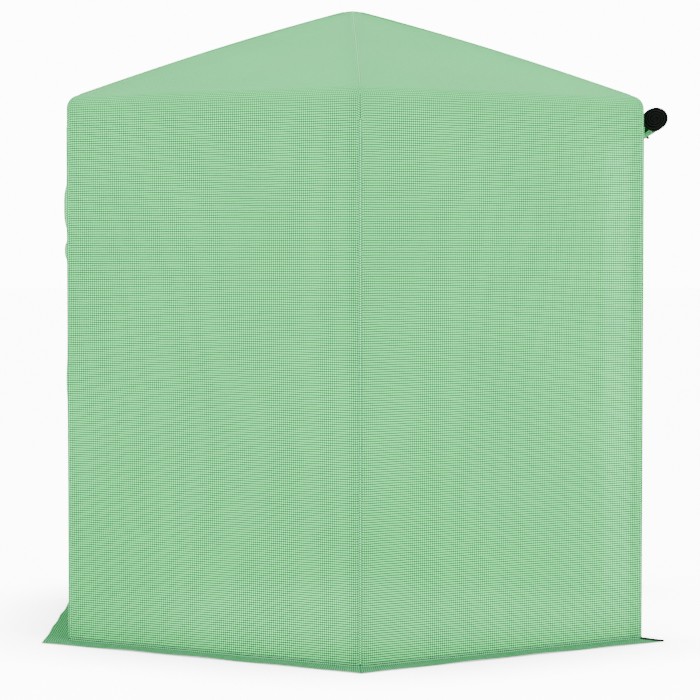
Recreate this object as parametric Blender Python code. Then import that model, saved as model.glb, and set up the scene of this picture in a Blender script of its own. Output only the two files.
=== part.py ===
"""Hexagonal pop-up greenhouse.

An umbrella-type frame carries a gridded polyethylene cover. Six ribs hinge on a hub
under the apex, each rib ends in an elbow, and each elbow carries a telescopic leg that
stays upright while the ribs swing up and the legs draw in around the hub.
"""

import math

import bmesh
import bpy
from mathutils import Matrix, Vector

# Cover, in metres
SIDE = 0.950  # wall length, and corner radius of the hexagon
APOTHEM = SIDE * math.cos(math.radians(30))
EAVE_Z = 1.550
APEX_Z = 1.850
CLOTH = 0.002
GAP = 0.0003  # between pieces that touch
MITRE = 0.00018  # taken off each mitred end
SKIRT_WIDTH = 0.0745
JAMB = 0.045  # cloth beside each doorway
DOOR_TOP = 1.450
ROLL_RADIUS = 0.0355
ROLL_LENGTH = 0.870
ROLL_Z = 1.497
TIE_RADIUS = 0.0370

# Frame, in metres
LEG_AXIS = 0.925  # radius of the circle that the legs stand on
ELBOW_BACK = 0.034  # elbow pivot to leg axis
HUB_PIVOT = 0.042  # radius of the circle of hub pivots
RIB_DROP = 0.0168  # rib axis below the hip line
RIB_RADIUS = 0.0080
LEG_OUTER = 0.0115
LEG_BORE = 0.0100
LEG_INNER = 0.0095
UPPER_BOTTOM = 0.765
BORE_TOP = 1.515
LOWER_TOP = 0.860
PIN_RADIUS = 0.0030
PIN_HOLE = 0.0034

# Zip of the closed door
ZIP_REST_Z = 0.055

SEGMENTS = 20
TAN30 = math.tan(math.radians(30))
HIP_SLOPE = (APEX_Z - EAVE_Z) / SIDE
ROOF_SLOPE = (APEX_Z - EAVE_Z) / APOTHEM
ELBOW_PIVOT = LEG_AXIS - ELBOW_BACK


def hip_z(radius):
    """Height of the rib axis at a radius."""
    return EAVE_Z + (SIDE - radius) * HIP_SLOPE - RIB_DROP


HUB_Z = hip_z(HUB_PIVOT)
ELBOW_Z = hip_z(ELBOW_PIVOT)
RIB_LENGTH = math.hypot(ELBOW_PIVOT - HUB_PIVOT, HUB_Z - ELBOW_Z)
RIB_PITCH = math.atan2(HUB_Z - ELBOW_Z, ELBOW_PIVOT - HUB_PIVOT)

CORNERS = (
    ("front", -90),
    ("right_front", -30),
    ("right_rear", 30),
    ("rear", 90),
    ("left_rear", 150),
    ("left_front", 210),
)


def clear_scene():
    """Remove every object and mesh that the file came with."""
    for obj in list(bpy.data.objects):
        bpy.data.objects.remove(obj, do_unlink=True)
    for mesh in list(bpy.data.meshes):
        bpy.data.meshes.remove(mesh)


def make_material(name, color, roughness, metallic=0.0, alpha=1.0):
    """A Principled material."""
    material = bpy.data.materials.new(name)
    material.use_nodes = True
    shader = material.node_tree.nodes["Principled BSDF"]
    shader.inputs["Base Color"].default_value = (*color, 1.0)
    shader.inputs["Roughness"].default_value = roughness
    shader.inputs["Metallic"].default_value = metallic
    shader.inputs["Alpha"].default_value = alpha
    material.diffuse_color = (*color, 1.0)
    return material


def finish_mesh(bm, name):
    """Turn a bmesh into a mesh whose faces point outwards."""
    bmesh.ops.remove_doubles(bm, verts=bm.verts, dist=1e-7)
    bmesh.ops.recalc_face_normals(bm, faces=bm.faces)
    mesh = bpy.data.meshes.new(name)
    bm.to_mesh(mesh)
    bm.free()
    return mesh


def revolve(name, profile, segments=SEGMENTS):
    """Spin a closed (radius, z) profile about the Z axis."""
    bm = bmesh.new()
    verts = [bm.verts.new((r, 0.0, z)) for r, z in profile]
    edges = []
    for first, second in zip(verts, verts[1:] + verts[:1]):
        if first.co.x > 1e-9 or second.co.x > 1e-9:
            edges.append(bm.edges.new((first, second)))
    bmesh.ops.spin(
        bm,
        geom=verts + edges,
        cent=(0, 0, 0),
        axis=(0, 0, 1),
        angle=math.tau,
        steps=segments,
        use_merge=True,
    )
    bmesh.ops.remove_doubles(bm, verts=bm.verts, dist=1e-7)
    bmesh.ops.dissolve_degenerate(bm, edges=bm.edges, dist=1e-7)
    return finish_mesh(bm, name)


def extrude_outline(name, outline, direction, start, end):
    """Extrude a closed outline of 3-D points from start to end along a direction."""
    bm = bmesh.new()
    way = Vector(direction)
    verts = [bm.verts.new(Vector(point) + way * start) for point in outline]
    face = bm.faces.new(verts)
    made = bmesh.ops.extrude_face_region(bm, geom=[face])
    moved = [item for item in made["geom"] if isinstance(item, bmesh.types.BMVert)]
    bmesh.ops.translate(bm, verts=moved, vec=way * (end - start))
    return finish_mesh(bm, name)


def prism(name, lower, upper):
    """A solid between two outlines with the same number of points."""
    bm = bmesh.new()
    low = [bm.verts.new(point) for point in lower]
    high = [bm.verts.new(point) for point in upper]
    bm.faces.new(low[::-1])
    bm.faces.new(high)
    for i in range(len(low)):
        j = (i + 1) % len(low)
        bm.faces.new((low[i], low[j], high[j], high[i]))
    return finish_mesh(bm, name)


def cylinder(name, radius, start, end, axis="Z", segments=SEGMENTS):
    """A cylinder along an axis, from start to end."""
    mesh = revolve(name, [(0, start), (radius, start), (radius, end), (0, end)], segments)
    turns = {"X": Matrix.Rotation(math.radians(90), 4, "Y"), "Z": Matrix.Identity(4)}
    turns["Y"] = Matrix.Rotation(math.radians(-90), 4, "X")
    mesh.transform(turns[axis])
    return mesh


def capsule_outline(first, first_radius, second, second_radius, steps=8):
    """Outline, in the XZ plane, of the band around two circles."""
    (ax, az), (bx, bz) = first, second
    way = math.atan2(bz - az, bx - ax)
    span = math.hypot(bx - ax, bz - az)
    lean = math.acos((first_radius - second_radius) / span)
    points = []
    for i in range(steps + 1):
        angle = way + lean + (math.tau - 2 * lean) * i / steps
        points.append((ax + first_radius * math.cos(angle), 0, az + first_radius * math.sin(angle)))
    for i in range(steps + 1):
        angle = way - lean + 2 * lean * i / steps
        points.append((bx + second_radius * math.cos(angle), 0, bz + second_radius * math.sin(angle)))
    return points


def boolean(mesh, tool, operation):
    """Join two meshes with an exact Boolean, and return the result."""
    scene = bpy.context.scene
    body = bpy.data.objects.new("boolean_body", mesh)
    other = bpy.data.objects.new("boolean_tool", tool)
    for obj in (body, other):
        scene.collection.objects.link(obj)
    modifier = body.modifiers.new("boolean", "BOOLEAN")
    modifier.operation = operation
    modifier.solver = "EXACT"
    modifier.object = other
    depsgraph = bpy.context.evaluated_depsgraph_get()
    result = bpy.data.meshes.new_from_object(body.evaluated_get(depsgraph))
    for obj in (body, other):
        bpy.data.objects.remove(obj, do_unlink=True)
    result.name = mesh.name
    return result


def unite(meshes):
    """The union of several meshes."""
    result = meshes[0]
    for mesh in meshes[1:]:
        result = boolean(result, mesh, "UNION")
    return result


def subtract(mesh, tools):
    """A mesh less several tools."""
    for tool in tools:
        mesh = boolean(mesh, tool, "DIFFERENCE")
    return mesh


def smooth(mesh):
    """Shade a round mesh smooth, with its real edges sharp."""
    mesh.shade_smooth()
    mesh.set_sharp_from_angle(angle=math.radians(38))
    return mesh


def turn_z(degrees):
    """Rotation about the vertical axis."""
    return Matrix.Rotation(math.radians(degrees), 4, "Z")


def add_object(name, mesh, material, parent=None, parent_world=None, world=None):
    """Link an object to the scene at a world matrix, under a parent empty."""
    if not mesh.materials:
        mesh.materials.append(material)
    obj = bpy.data.objects.new(name, mesh)
    bpy.context.scene.collection.objects.link(obj)
    place = world if world is not None else Matrix.Identity(4)
    if parent is not None:
        obj.parent = parent
        place = parent_world.inverted() @ place
    obj.matrix_basis = place
    return obj


def add_empty(name, world, parent=None, parent_world=None):
    """An empty on a joint's axis."""
    empty = bpy.data.objects.new(name, None)
    empty.empty_display_size = 0.04
    bpy.context.scene.collection.objects.link(empty)
    if parent is not None:
        empty.parent = parent
        empty.matrix_basis = parent_world.inverted() @ world
    else:
        empty.matrix_basis = world
    return empty


# ---------------------------------------------------------------- hub


def hub_body_mesh():
    """Turned hub with six slots, each crossed by a rib's pivot pin."""
    profile = [
        (0.000, -0.020),
        (0.030, -0.020),
        (0.049, -0.017),
        (0.0565, -0.012),
        (0.0570, 0.000),
        (0.0540, 0.0035),
        (0.0270, 0.0120),
        (0.000, 0.0120),
    ]
    hub = revolve("hub_body", profile, 36)
    slots = []
    for _, azimuth in CORNERS:
        outline = [(0.027, -0.00625, 0), (0.070, -0.00625, 0), (0.070, 0.00625, 0), (0.027, 0.00625, 0)]
        slot = extrude_outline("slot", outline, (0, 0, 1), -0.03, 0.03)
        slot.transform(turn_z(azimuth))
        slots.append(slot)
    hub = subtract(hub, slots)
    pins = []
    for _, azimuth in CORNERS:
        pin = cylinder("pin", PIN_RADIUS, -0.0095, 0.0095, "Y", 12)
        pin.transform(turn_z(azimuth) @ Matrix.Translation((HUB_PIVOT, 0, 0)))
        pins.append(pin)
    return smooth(unite([hub] + pins))


def hub_cap_mesh():
    """Domed cap that spreads the load of the apex."""
    profile = [
        (0.000, 0.0123),
        (0.0255, 0.0123),
        (0.0260, 0.0140),
        (0.0220, 0.0178),
        (0.0130, 0.0216),
        (0.0060, 0.0232),
        (0.000, 0.0236),
    ]
    return smooth(revolve("hub_cap", profile, 28))


def hub_knob_mesh():
    """Knob under the hub that is pulled down to fold the frame."""
    profile = [
        (0.000, -0.0560),
        (0.0090, -0.0552),
        (0.0155, -0.0520),
        (0.0175, -0.0470),
        (0.0155, -0.0420),
        (0.0080, -0.0380),
        (0.0065, -0.0330),
        (0.0070, -0.0240),
        (0.0120, -0.0203),
        (0.000, -0.0203),
    ]
    return smooth(revolve("hub_pull_knob", profile, 24))


# ---------------------------------------------------------------- ribs and elbows


def rib_mesh():
    """Tube with a flat tang that turns on the hub's pin. +X runs along the rib."""
    tube = cylinder("rib", RIB_RADIUS, 0.024, RIB_LENGTH - 0.0206, "X", SEGMENTS)
    outline = capsule_outline((0, 0), 0.0070, (0.034, 0), 0.0066)
    tang = extrude_outline("tang", outline, (0, 1, 0), -0.0057, 0.0057)
    rib = unite([tube, tang])
    hole = cylinder("hole", PIN_HOLE, -0.02, 0.02, "Y", 12)
    return smooth(subtract(rib, [hole]))


def elbow_mesh():
    """Moulded elbow: a socket for the rib, and two ears with the leg's pin. +X points outwards."""
    sleeve_profile = [
        (0.000, -0.0620),
        (0.0108, -0.0620),
        (0.0116, -0.0605),
        (0.0116, -0.0205),
        (0.0076, -0.0155),
        (0.000, -0.0155),
    ]
    sleeve = revolve("elbow", sleeve_profile, SEGMENTS)
    sleeve.transform(Matrix.Rotation(math.radians(90), 4, "Y"))
    ears = []
    for side in (-1, 1):
        outline = capsule_outline((-0.026, 0), 0.0086, (0, 0), 0.0090)
        near, far = sorted((side * 0.0054, side * 0.0094))
        ears.append(extrude_outline("ear", outline, (0, 1, 0), near, far))
    pin = cylinder("pin", PIN_RADIUS, -0.0105, 0.0105, "Y", 12)
    heads = []
    for side in (-1, 1):
        near, far = sorted((side * 0.0090, side * 0.0112))
        heads.append(cylinder("pin_head", 0.0050, near, far, "Y", 12))
    elbow = unite([sleeve] + ears + [pin] + heads)
    socket = cylinder("socket", 0.0084, -0.070, -0.0201, "X", SEGMENTS)
    return smooth(subtract(elbow, [socket]))


# ---------------------------------------------------------------- legs


def upper_leg_mesh():
    """Outer leg tube with its head and bottom collar. The origin is the elbow pivot."""
    low = UPPER_BOTTOM - ELBOW_Z
    bore_top = BORE_TOP - ELBOW_Z
    profile = [
        (LEG_BORE, low),
        (0.0138, low),
        (0.0145, low + 0.002),
        (0.0145, low + 0.030),
        (LEG_OUTER, low + 0.036),
        (LEG_OUTER, -0.064),
        (0.0140, -0.060),
        (0.0145, -0.056),
        (0.0145, -0.012),
        (0.0120, -0.0065),
        (0.000, -0.0050),
        (0.000, bore_top),
        (LEG_BORE, bore_top),
    ]
    tube = revolve("leg_upper", profile, SEGMENTS)
    tube.transform(Matrix.Translation((ELBOW_BACK, 0, 0)))
    outline = capsule_outline((0, 0), 0.0088, (ELBOW_BACK - 0.002, -0.0165), 0.0095)
    tang = extrude_outline("tang", outline, (0, 1, 0), -0.0050, 0.0050)
    leg = unite([tube, tang])
    hole = cylinder("hole", PIN_HOLE, -0.02, 0.02, "Y", 12)
    return smooth(subtract(leg, [hole]))


def lower_leg_mesh():
    """Inner leg tube, closed by its plug. The origin is on the leg axis at the ground."""
    profile = [
        (0.000, 0.0066),
        (LEG_INNER, 0.0066),
        (LEG_INNER, LOWER_TOP - 0.002),
        (LEG_INNER - 0.0015, LOWER_TOP),
        (0.000, LOWER_TOP),
    ]
    return smooth(revolve("leg_lower", profile, SEGMENTS))


def foot_mesh():
    """Rubber boot with a flared sole and a socket for the inner tube."""
    profile = [
        (0.000, 0.000),
        (0.0170, 0.000),
        (0.0175, 0.0012),
        (0.0175, 0.0040),
        (0.0142, 0.0085),
        (0.0130, 0.0150),
        (0.0127, 0.0370),
        (0.0117, 0.0400),
        (0.0099, 0.0400),
        (0.0099, 0.0062),
        (0.000, 0.0062),
    ]
    return smooth(revolve("foot", profile, SEGMENTS))


# ---------------------------------------------------------------- cover
# Wall pieces are made with their outward face on +X and their width along Y.


def half_width(x):
    """Half the width of a mitred panel at a distance from the centre."""
    return x * TAN30 - MITRE


def wall_outline(x, z_low, z_high):
    """Rectangle of a wall at one depth."""
    half = half_width(x)
    return [(x, -half, z_low), (x, half, z_low), (x, half, z_high), (x, -half, z_high)]


WALL_TOP = EAVE_Z - CLOTH / math.cos(math.atan(ROOF_SLOPE)) - GAP


def wall_mesh():
    """Plain wall panel, mitred at both corners."""
    inner = wall_outline(APOTHEM - CLOTH, GAP, WALL_TOP)
    outer = wall_outline(APOTHEM, GAP, WALL_TOP)
    return prism("wall", inner, outer)


def door_frame_mesh():
    """Wall around a doorway: two jambs and a header."""
    inside = SIDE / 2 - JAMB
    layers = []
    for x in (APOTHEM - CLOTH, APOTHEM):
        half = half_width(x)
        layers.append(
            [
                (x, -half, GAP),
                (x, -inside, GAP),
                (x, -inside, DOOR_TOP),
                (x, inside, DOOR_TOP),
                (x, inside, GAP),
                (x, half, GAP),
                (x, half, WALL_TOP),
                (x, -half, WALL_TOP),
            ]
        )
    return prism("door_frame", *layers)


def door_mesh():
    """Door panel between its two zips."""
    half = SIDE / 2 - JAMB - GAP
    layers = []
    for x in (APOTHEM - CLOTH, APOTHEM):
        high = DOOR_TOP - GAP
        layers.append([(x, -half, GAP), (x, half, GAP), (x, half, high), (x, -half, high)])
    return prism("door", *layers)


def roof_mesh():
    """Roof gore between two hips, from the eave to the apex."""
    drop = CLOTH / math.cos(math.atan(ROOF_SLOPE))
    layers = []
    for lowered in (drop, 0.0):
        points = []
        for x, side in ((0.006, 1), (0.006, -1), (APOTHEM, -1), (APOTHEM, 1)):
            points.append((x, side * half_width(x), APEX_Z - ROOF_SLOPE * x - lowered))
        layers.append(points)
    return prism("roof", *layers)


def skirt_mesh():
    """Mitred strip that lies on the ground outside a wall."""
    layers = []
    for z in (0.0, CLOTH):
        points = []
        for x, side in ((APOTHEM + GAP, 1), (APOTHEM + GAP, -1)):
            points.append((x, side * half_width(x), z))
        for x, side in ((APOTHEM + SKIRT_WIDTH, -1), (APOTHEM + SKIRT_WIDTH, 1)):
            points.append((x, side * half_width(x), z))
        layers.append(points)
    return prism("skirt", *layers)


def roll_mesh():
    """Rolled-up door: a soft cylinder along Y with rounded ends."""
    half = ROLL_LENGTH / 2
    profile = [
        (0.000, -half),
        (ROLL_RADIUS - 0.004, -half),
        (ROLL_RADIUS, -half + 0.004),
        (ROLL_RADIUS, half - 0.004),
        (ROLL_RADIUS - 0.004, half),
        (0.000, half),
    ]
    mesh = revolve("door_roll", profile, 28)
    mesh.transform(Matrix.Rotation(math.radians(-90), 4, "X"))
    return smooth(mesh)


def tie_mesh():
    """Band that holds the rolled-up door."""
    profile = [
        (ROLL_RADIUS + GAP + 0.0002, -0.0125),
        (TIE_RADIUS, -0.0125),
        (TIE_RADIUS, 0.0125),
        (ROLL_RADIUS + GAP + 0.0002, 0.0125),
    ]
    mesh = revolve("door_tie", profile, 28)
    mesh.transform(Matrix.Rotation(math.radians(-90), 4, "X"))
    return smooth(mesh)


# ---------------------------------------------------------------- zip


def zip_slider_mesh():
    """Zip slider with the lugs and pin that its pull hangs on."""
    outline = [
        (0, -0.0032, -0.0070),
        (0, 0.0032, -0.0070),
        (0, 0.0045, 0.0010),
        (0, 0.0045, 0.0055),
        (0, 0.0030, 0.0070),
        (0, -0.0030, 0.0070),
        (0, -0.0045, 0.0055),
        (0, -0.0045, 0.0010),
    ]
    body = extrude_outline("zip_slider", outline, (1, 0, 0), 0.0004, 0.0040)
    lugs = []
    for side in (-1, 1):
        lug = capsule_outline((0.0030, 0), 0.0022, (0.0068, 0), 0.0016, 6)
        near, far = sorted((side * 0.0023, side * 0.0034))
        lugs.append(extrude_outline("lug", lug, (0, 1, 0), near, far))
    pin = cylinder("pin", 0.0008, -0.0030, 0.0030, "Y", 10)
    pin.transform(Matrix.Translation((0.0068, 0, 0)))
    return smooth(unite([body] + lugs + [pin]))


def zip_pull_mesh():
    """Zip pull that hangs from the slider's pin. The origin is the pin's axis."""
    ring = cylinder("zip_pull", 0.0021, -0.0019, 0.0019, "Y", 12)
    outline = [
        (0, -0.0018, 0.0),
        (0, -0.0018, -0.0050),
        (0, -0.0034, -0.0080),
        (0, -0.0034, -0.0215),
        (0, -0.0022, -0.0235),
        (0, 0.0022, -0.0235),
        (0, 0.0034, -0.0215),
        (0, 0.0034, -0.0080),
        (0, 0.0018, -0.0050),
        (0, 0.0018, 0.0),
    ]
    plate = extrude_outline("plate", outline, (1, 0, 0), -0.0007, 0.0007)
    pull = unite([ring, plate])
    hole = cylinder("hole", 0.0012, -0.01, 0.01, "Y", 12)
    grip = cylinder("grip", 0.0016, -0.01, 0.01, "X", 12)
    grip.transform(Matrix.Translation((0, 0, -0.0185)))
    return smooth(subtract(pull, [hole, grip]))


# ---------------------------------------------------------------- assembly

WALLS = (
    ("front_right", "wall", "skirt"),
    ("right", "door_frame", None),
    ("rear_right", "wall", "skirt"),
    ("rear_left", "wall", "skirt"),
    ("left", "door_frame", "skirt"),
    ("front_left", "wall", "skirt"),
)


def make_materials():
    """The finishes of the frame and the cover."""
    return {
        "tube": make_material("coated_tube", (0.62, 0.63, 0.63), 0.38, 0.35),
        "fitting": make_material("moulded_fitting", (0.035, 0.036, 0.038), 0.48),
        "rubber": make_material("rubber_boot", (0.020, 0.020, 0.021), 0.82),
        "cover": make_material("cover_cloth", (0.309, 0.597, 0.342), 0.55),
        "hem": make_material("hem_cloth", (0.212, 0.445, 0.254), 0.60),
        "zip": make_material("zip_metal", (0.030, 0.030, 0.032), 0.35, 0.60),
        "band": make_material("tie_band", (0.018, 0.022, 0.019), 0.75),
    }


def build_frame(materials):
    """Hub, ribs, elbows and legs. Returns the empties that carry each leg."""
    hub_place = Matrix.Translation((0, 0, HUB_Z))
    add_object("hub_body", hub_body_mesh(), materials["fitting"], world=hub_place)
    add_object("hub_cap", hub_cap_mesh(), materials["fitting"], world=hub_place)
    add_object("hub_pull_knob", hub_knob_mesh(), materials["fitting"], world=hub_place)
    meshes = {
        "rib": rib_mesh(),
        "elbow": elbow_mesh(),
        "leg_upper": upper_leg_mesh(),
        "leg_lower": lower_leg_mesh(),
        "foot": foot_mesh(),
    }
    pitch = Matrix.Rotation(RIB_PITCH, 4, "Y")
    carriers = {}
    for corner, azimuth in CORNERS:
        turn = turn_z(azimuth)
        hub_pivot = turn @ Matrix.Translation((HUB_PIVOT, 0, HUB_Z))
        elbow_pivot = turn @ Matrix.Translation((ELBOW_PIVOT, 0, ELBOW_Z))
        ground = turn @ Matrix.Translation((LEG_AXIS, 0, 0))
        rib_joint = add_empty(f"joint_rib_{corner}", hub_pivot)
        leg_joint = add_empty(f"joint_leg_{corner}", elbow_pivot, rib_joint, hub_pivot)
        foot_joint = add_empty(f"joint_foot_{corner}", ground, leg_joint, elbow_pivot)
        pieces = (
            ("rib", "tube", rib_joint, hub_pivot, hub_pivot @ pitch),
            ("elbow", "fitting", rib_joint, hub_pivot, elbow_pivot @ pitch),
            ("leg_upper", "tube", leg_joint, elbow_pivot, elbow_pivot),
            ("leg_lower", "tube", foot_joint, ground, ground),
            ("foot", "rubber", foot_joint, ground, ground),
        )
        for kind, finish, parent, parent_world, world in pieces:
            name = f"{kind}_{corner}"
            add_object(name, meshes[kind], materials[finish], parent, parent_world, world)
        carriers[corner] = (rib_joint, hub_pivot, leg_joint, elbow_pivot)
    return carriers


def build_cover(materials, carriers):
    """Roof gores, walls, skirts and doors, each on the rib or leg at its first corner."""
    wall_meshes = {"wall": wall_mesh(), "door_frame": door_frame_mesh()}
    roof = roof_mesh()
    skirt = skirt_mesh()
    for (corner, azimuth), (side, kind, has_skirt) in zip(CORNERS, WALLS):
        rib_joint, hub_pivot, leg_joint, elbow_pivot = carriers[corner]
        world = turn_z(azimuth + 30)
        add_object(f"roof_{side}", roof, materials["cover"], rib_joint, hub_pivot, world)
        name = f"{kind}_{side}"
        add_object(name, wall_meshes[kind], materials["cover"], leg_joint, elbow_pivot, world)
        if has_skirt:
            add_object(f"skirt_{side}", skirt, materials["hem"], leg_joint, elbow_pivot, world)


def build_doors(materials, carriers):
    """The rolled door on the right, and the closed door with its zips on the left."""
    _, _, leg_joint, elbow_pivot = carriers["right_front"]
    roll_place = Matrix.Translation((APOTHEM + TIE_RADIUS + GAP, 0, ROLL_Z))
    add_object("door_roll_right", roll_mesh(), materials["cover"], leg_joint, elbow_pivot, roll_place)
    tie = tie_mesh()
    for name, y in (("door_tie_front", -0.24), ("door_tie_rear", 0.24)):
        world = Matrix.Translation((0, y, 0)) @ roll_place
        add_object(name, tie, materials["band"], leg_joint, elbow_pivot, world)

    _, _, leg_joint, elbow_pivot = carriers["left_rear"]
    turn = turn_z(180)
    add_object("door_left", door_mesh(), materials["cover"], leg_joint, elbow_pivot, turn)
    slider = zip_slider_mesh()
    pull = zip_pull_mesh()
    for corner, place, side in (("left_front", "front", 1), ("left_rear", "rear", -1)):
        _, _, leg_joint, elbow_pivot = carriers[corner]
        y = side * (SIDE / 2 - JAMB)
        track = turn @ Matrix.Translation((APOTHEM, y, ZIP_REST_Z))
        slide = add_empty(f"joint_zip_{place}", track, leg_joint, elbow_pivot)
        add_object(f"zip_slider_{place}", slider, materials["zip"], slide, track, track)
        pin = track @ Matrix.Translation((0.0068, 0, 0))
        hinge = add_empty(f"joint_zip_pull_{place}", pin, slide, track)
        add_object(f"zip_pull_{place}", pull, materials["zip"], hinge, pin, pin)


def main():
    """Build the greenhouse."""
    clear_scene()
    materials = make_materials()
    carriers = build_frame(materials)
    build_cover(materials, carriers)
    build_doors(materials, carriers)


main()
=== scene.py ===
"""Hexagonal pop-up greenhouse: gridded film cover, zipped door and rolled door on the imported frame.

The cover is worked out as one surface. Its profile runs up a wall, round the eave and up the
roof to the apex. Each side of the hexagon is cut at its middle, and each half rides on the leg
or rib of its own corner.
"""

import logging
import math
from dataclasses import dataclass, field
from enum import Enum
from typing import Optional, Sequence

import bmesh
import bpy
import numpy as np
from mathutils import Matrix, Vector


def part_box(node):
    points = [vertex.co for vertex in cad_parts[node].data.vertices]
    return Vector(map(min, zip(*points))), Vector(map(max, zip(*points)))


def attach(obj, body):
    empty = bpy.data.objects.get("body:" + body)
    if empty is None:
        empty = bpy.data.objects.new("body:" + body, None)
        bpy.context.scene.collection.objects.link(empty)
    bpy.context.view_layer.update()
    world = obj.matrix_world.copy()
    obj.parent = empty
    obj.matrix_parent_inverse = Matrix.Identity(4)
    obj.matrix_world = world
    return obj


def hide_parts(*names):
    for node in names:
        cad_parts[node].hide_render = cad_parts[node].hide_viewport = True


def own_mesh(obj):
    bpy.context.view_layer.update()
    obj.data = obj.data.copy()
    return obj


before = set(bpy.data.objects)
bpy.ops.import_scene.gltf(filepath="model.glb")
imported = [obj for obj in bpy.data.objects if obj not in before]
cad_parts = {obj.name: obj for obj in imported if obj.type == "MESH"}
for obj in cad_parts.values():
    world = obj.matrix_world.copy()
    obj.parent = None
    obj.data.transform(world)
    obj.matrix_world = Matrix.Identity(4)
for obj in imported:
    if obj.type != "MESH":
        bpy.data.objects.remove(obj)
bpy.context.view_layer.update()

LOG = logging.getLogger("greenhouse")
TAN30 = math.tan(math.radians(30))
GORE_DROP = 0.00213  # how far a CAD gore reaches below the cloth's eave line
TIE_HALF = 0.0095  # half the width of a door tie
Array = np.ndarray


# ---------------------------------------------------------------- plan of the house


class Corner(Enum):
    """The six corners of the plan, with the words in their bodies' names and their azimuths."""

    FRONT = ("front", -90.0)
    RIGHT_FRONT = ("right_front", -30.0)
    RIGHT_REAR = ("right_rear", 30.0)
    REAR = ("rear", 90.0)
    LEFT_REAR = ("left_rear", 150.0)
    LEFT_FRONT = ("left_front", 210.0)

    def __init__(self, word: str, azimuth: float) -> None:
        """Keep the corner's word and azimuth in degrees."""
        self.word = word
        self.azimuth = azimuth

    @property
    def outward(self) -> Array:
        """Unit vector from the axis to this corner."""
        angle = math.radians(self.azimuth)
        return np.array([math.cos(angle), math.sin(angle), 0.0])


class Half(Enum):
    """The two halves of a side: towards its first corner and towards its second."""

    FIRST = ("a", -1.0)
    SECOND = ("b", 1.0)

    def __init__(self, letter: str, sign: float) -> None:
        """Keep the letter that names the half and the sign of its side of the middle."""
        self.letter = letter
        self.sign = sign


class Doorway(Enum):
    """What a side has in it."""

    NONE = "none"
    OPEN = "open"
    CLOSED = "closed"


@dataclass(frozen=True)
class Side:
    """One side of the hexagon, seen from outside with its first corner on the left."""

    name: str
    azimuth: float
    first: Corner
    second: Corner
    doorway: Doorway = Doorway.NONE
    phase: float = 0.0

    @property
    def outward(self) -> Array:
        """Unit normal of the wall."""
        angle = math.radians(self.azimuth)
        return np.array([math.cos(angle), math.sin(angle), 0.0])

    @property
    def along(self) -> Array:
        """Unit vector along the wall, from the first corner to the second."""
        angle = math.radians(self.azimuth)
        return np.array([-math.sin(angle), math.cos(angle), 0.0])


@dataclass(frozen=True)
class HalfSide:
    """Half of a side, from its middle to one corner."""

    side: Side
    half: Half

    @property
    def sign(self) -> float:
        """The sign of this half's shares across the side."""
        return self.half.sign

    @property
    def corner(self) -> Corner:
        """The corner at this half's end."""
        return self.side.first if self.half is Half.FIRST else self.side.second

    @property
    def ending(self) -> str:
        """The ending of the names of this half's pieces."""
        return f"{self.side.name}_{self.half.letter}"

    @property
    def end(self) -> str:
        """The last word of the corner's name: front or rear."""
        return self.corner.word.split("_")[-1]

    @property
    def leg(self) -> str:
        """The body that this half's wall rides."""
        return f"leg_{self.corner.word}"


SIDES = (
    Side("front_right", -60.0, Corner.FRONT, Corner.RIGHT_FRONT, phase=0.3),
    Side("right", 0.0, Corner.RIGHT_FRONT, Corner.RIGHT_REAR, Doorway.OPEN, 1.7),
    Side("rear_right", 60.0, Corner.RIGHT_REAR, Corner.REAR, phase=2.9),
    Side("rear_left", 120.0, Corner.REAR, Corner.LEFT_REAR, phase=4.1),
    Side("left", 180.0, Corner.LEFT_REAR, Corner.LEFT_FRONT, Doorway.CLOSED, 5.2),
    Side("front_left", 240.0, Corner.LEFT_FRONT, Corner.FRONT, phase=0.9),
)


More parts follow.
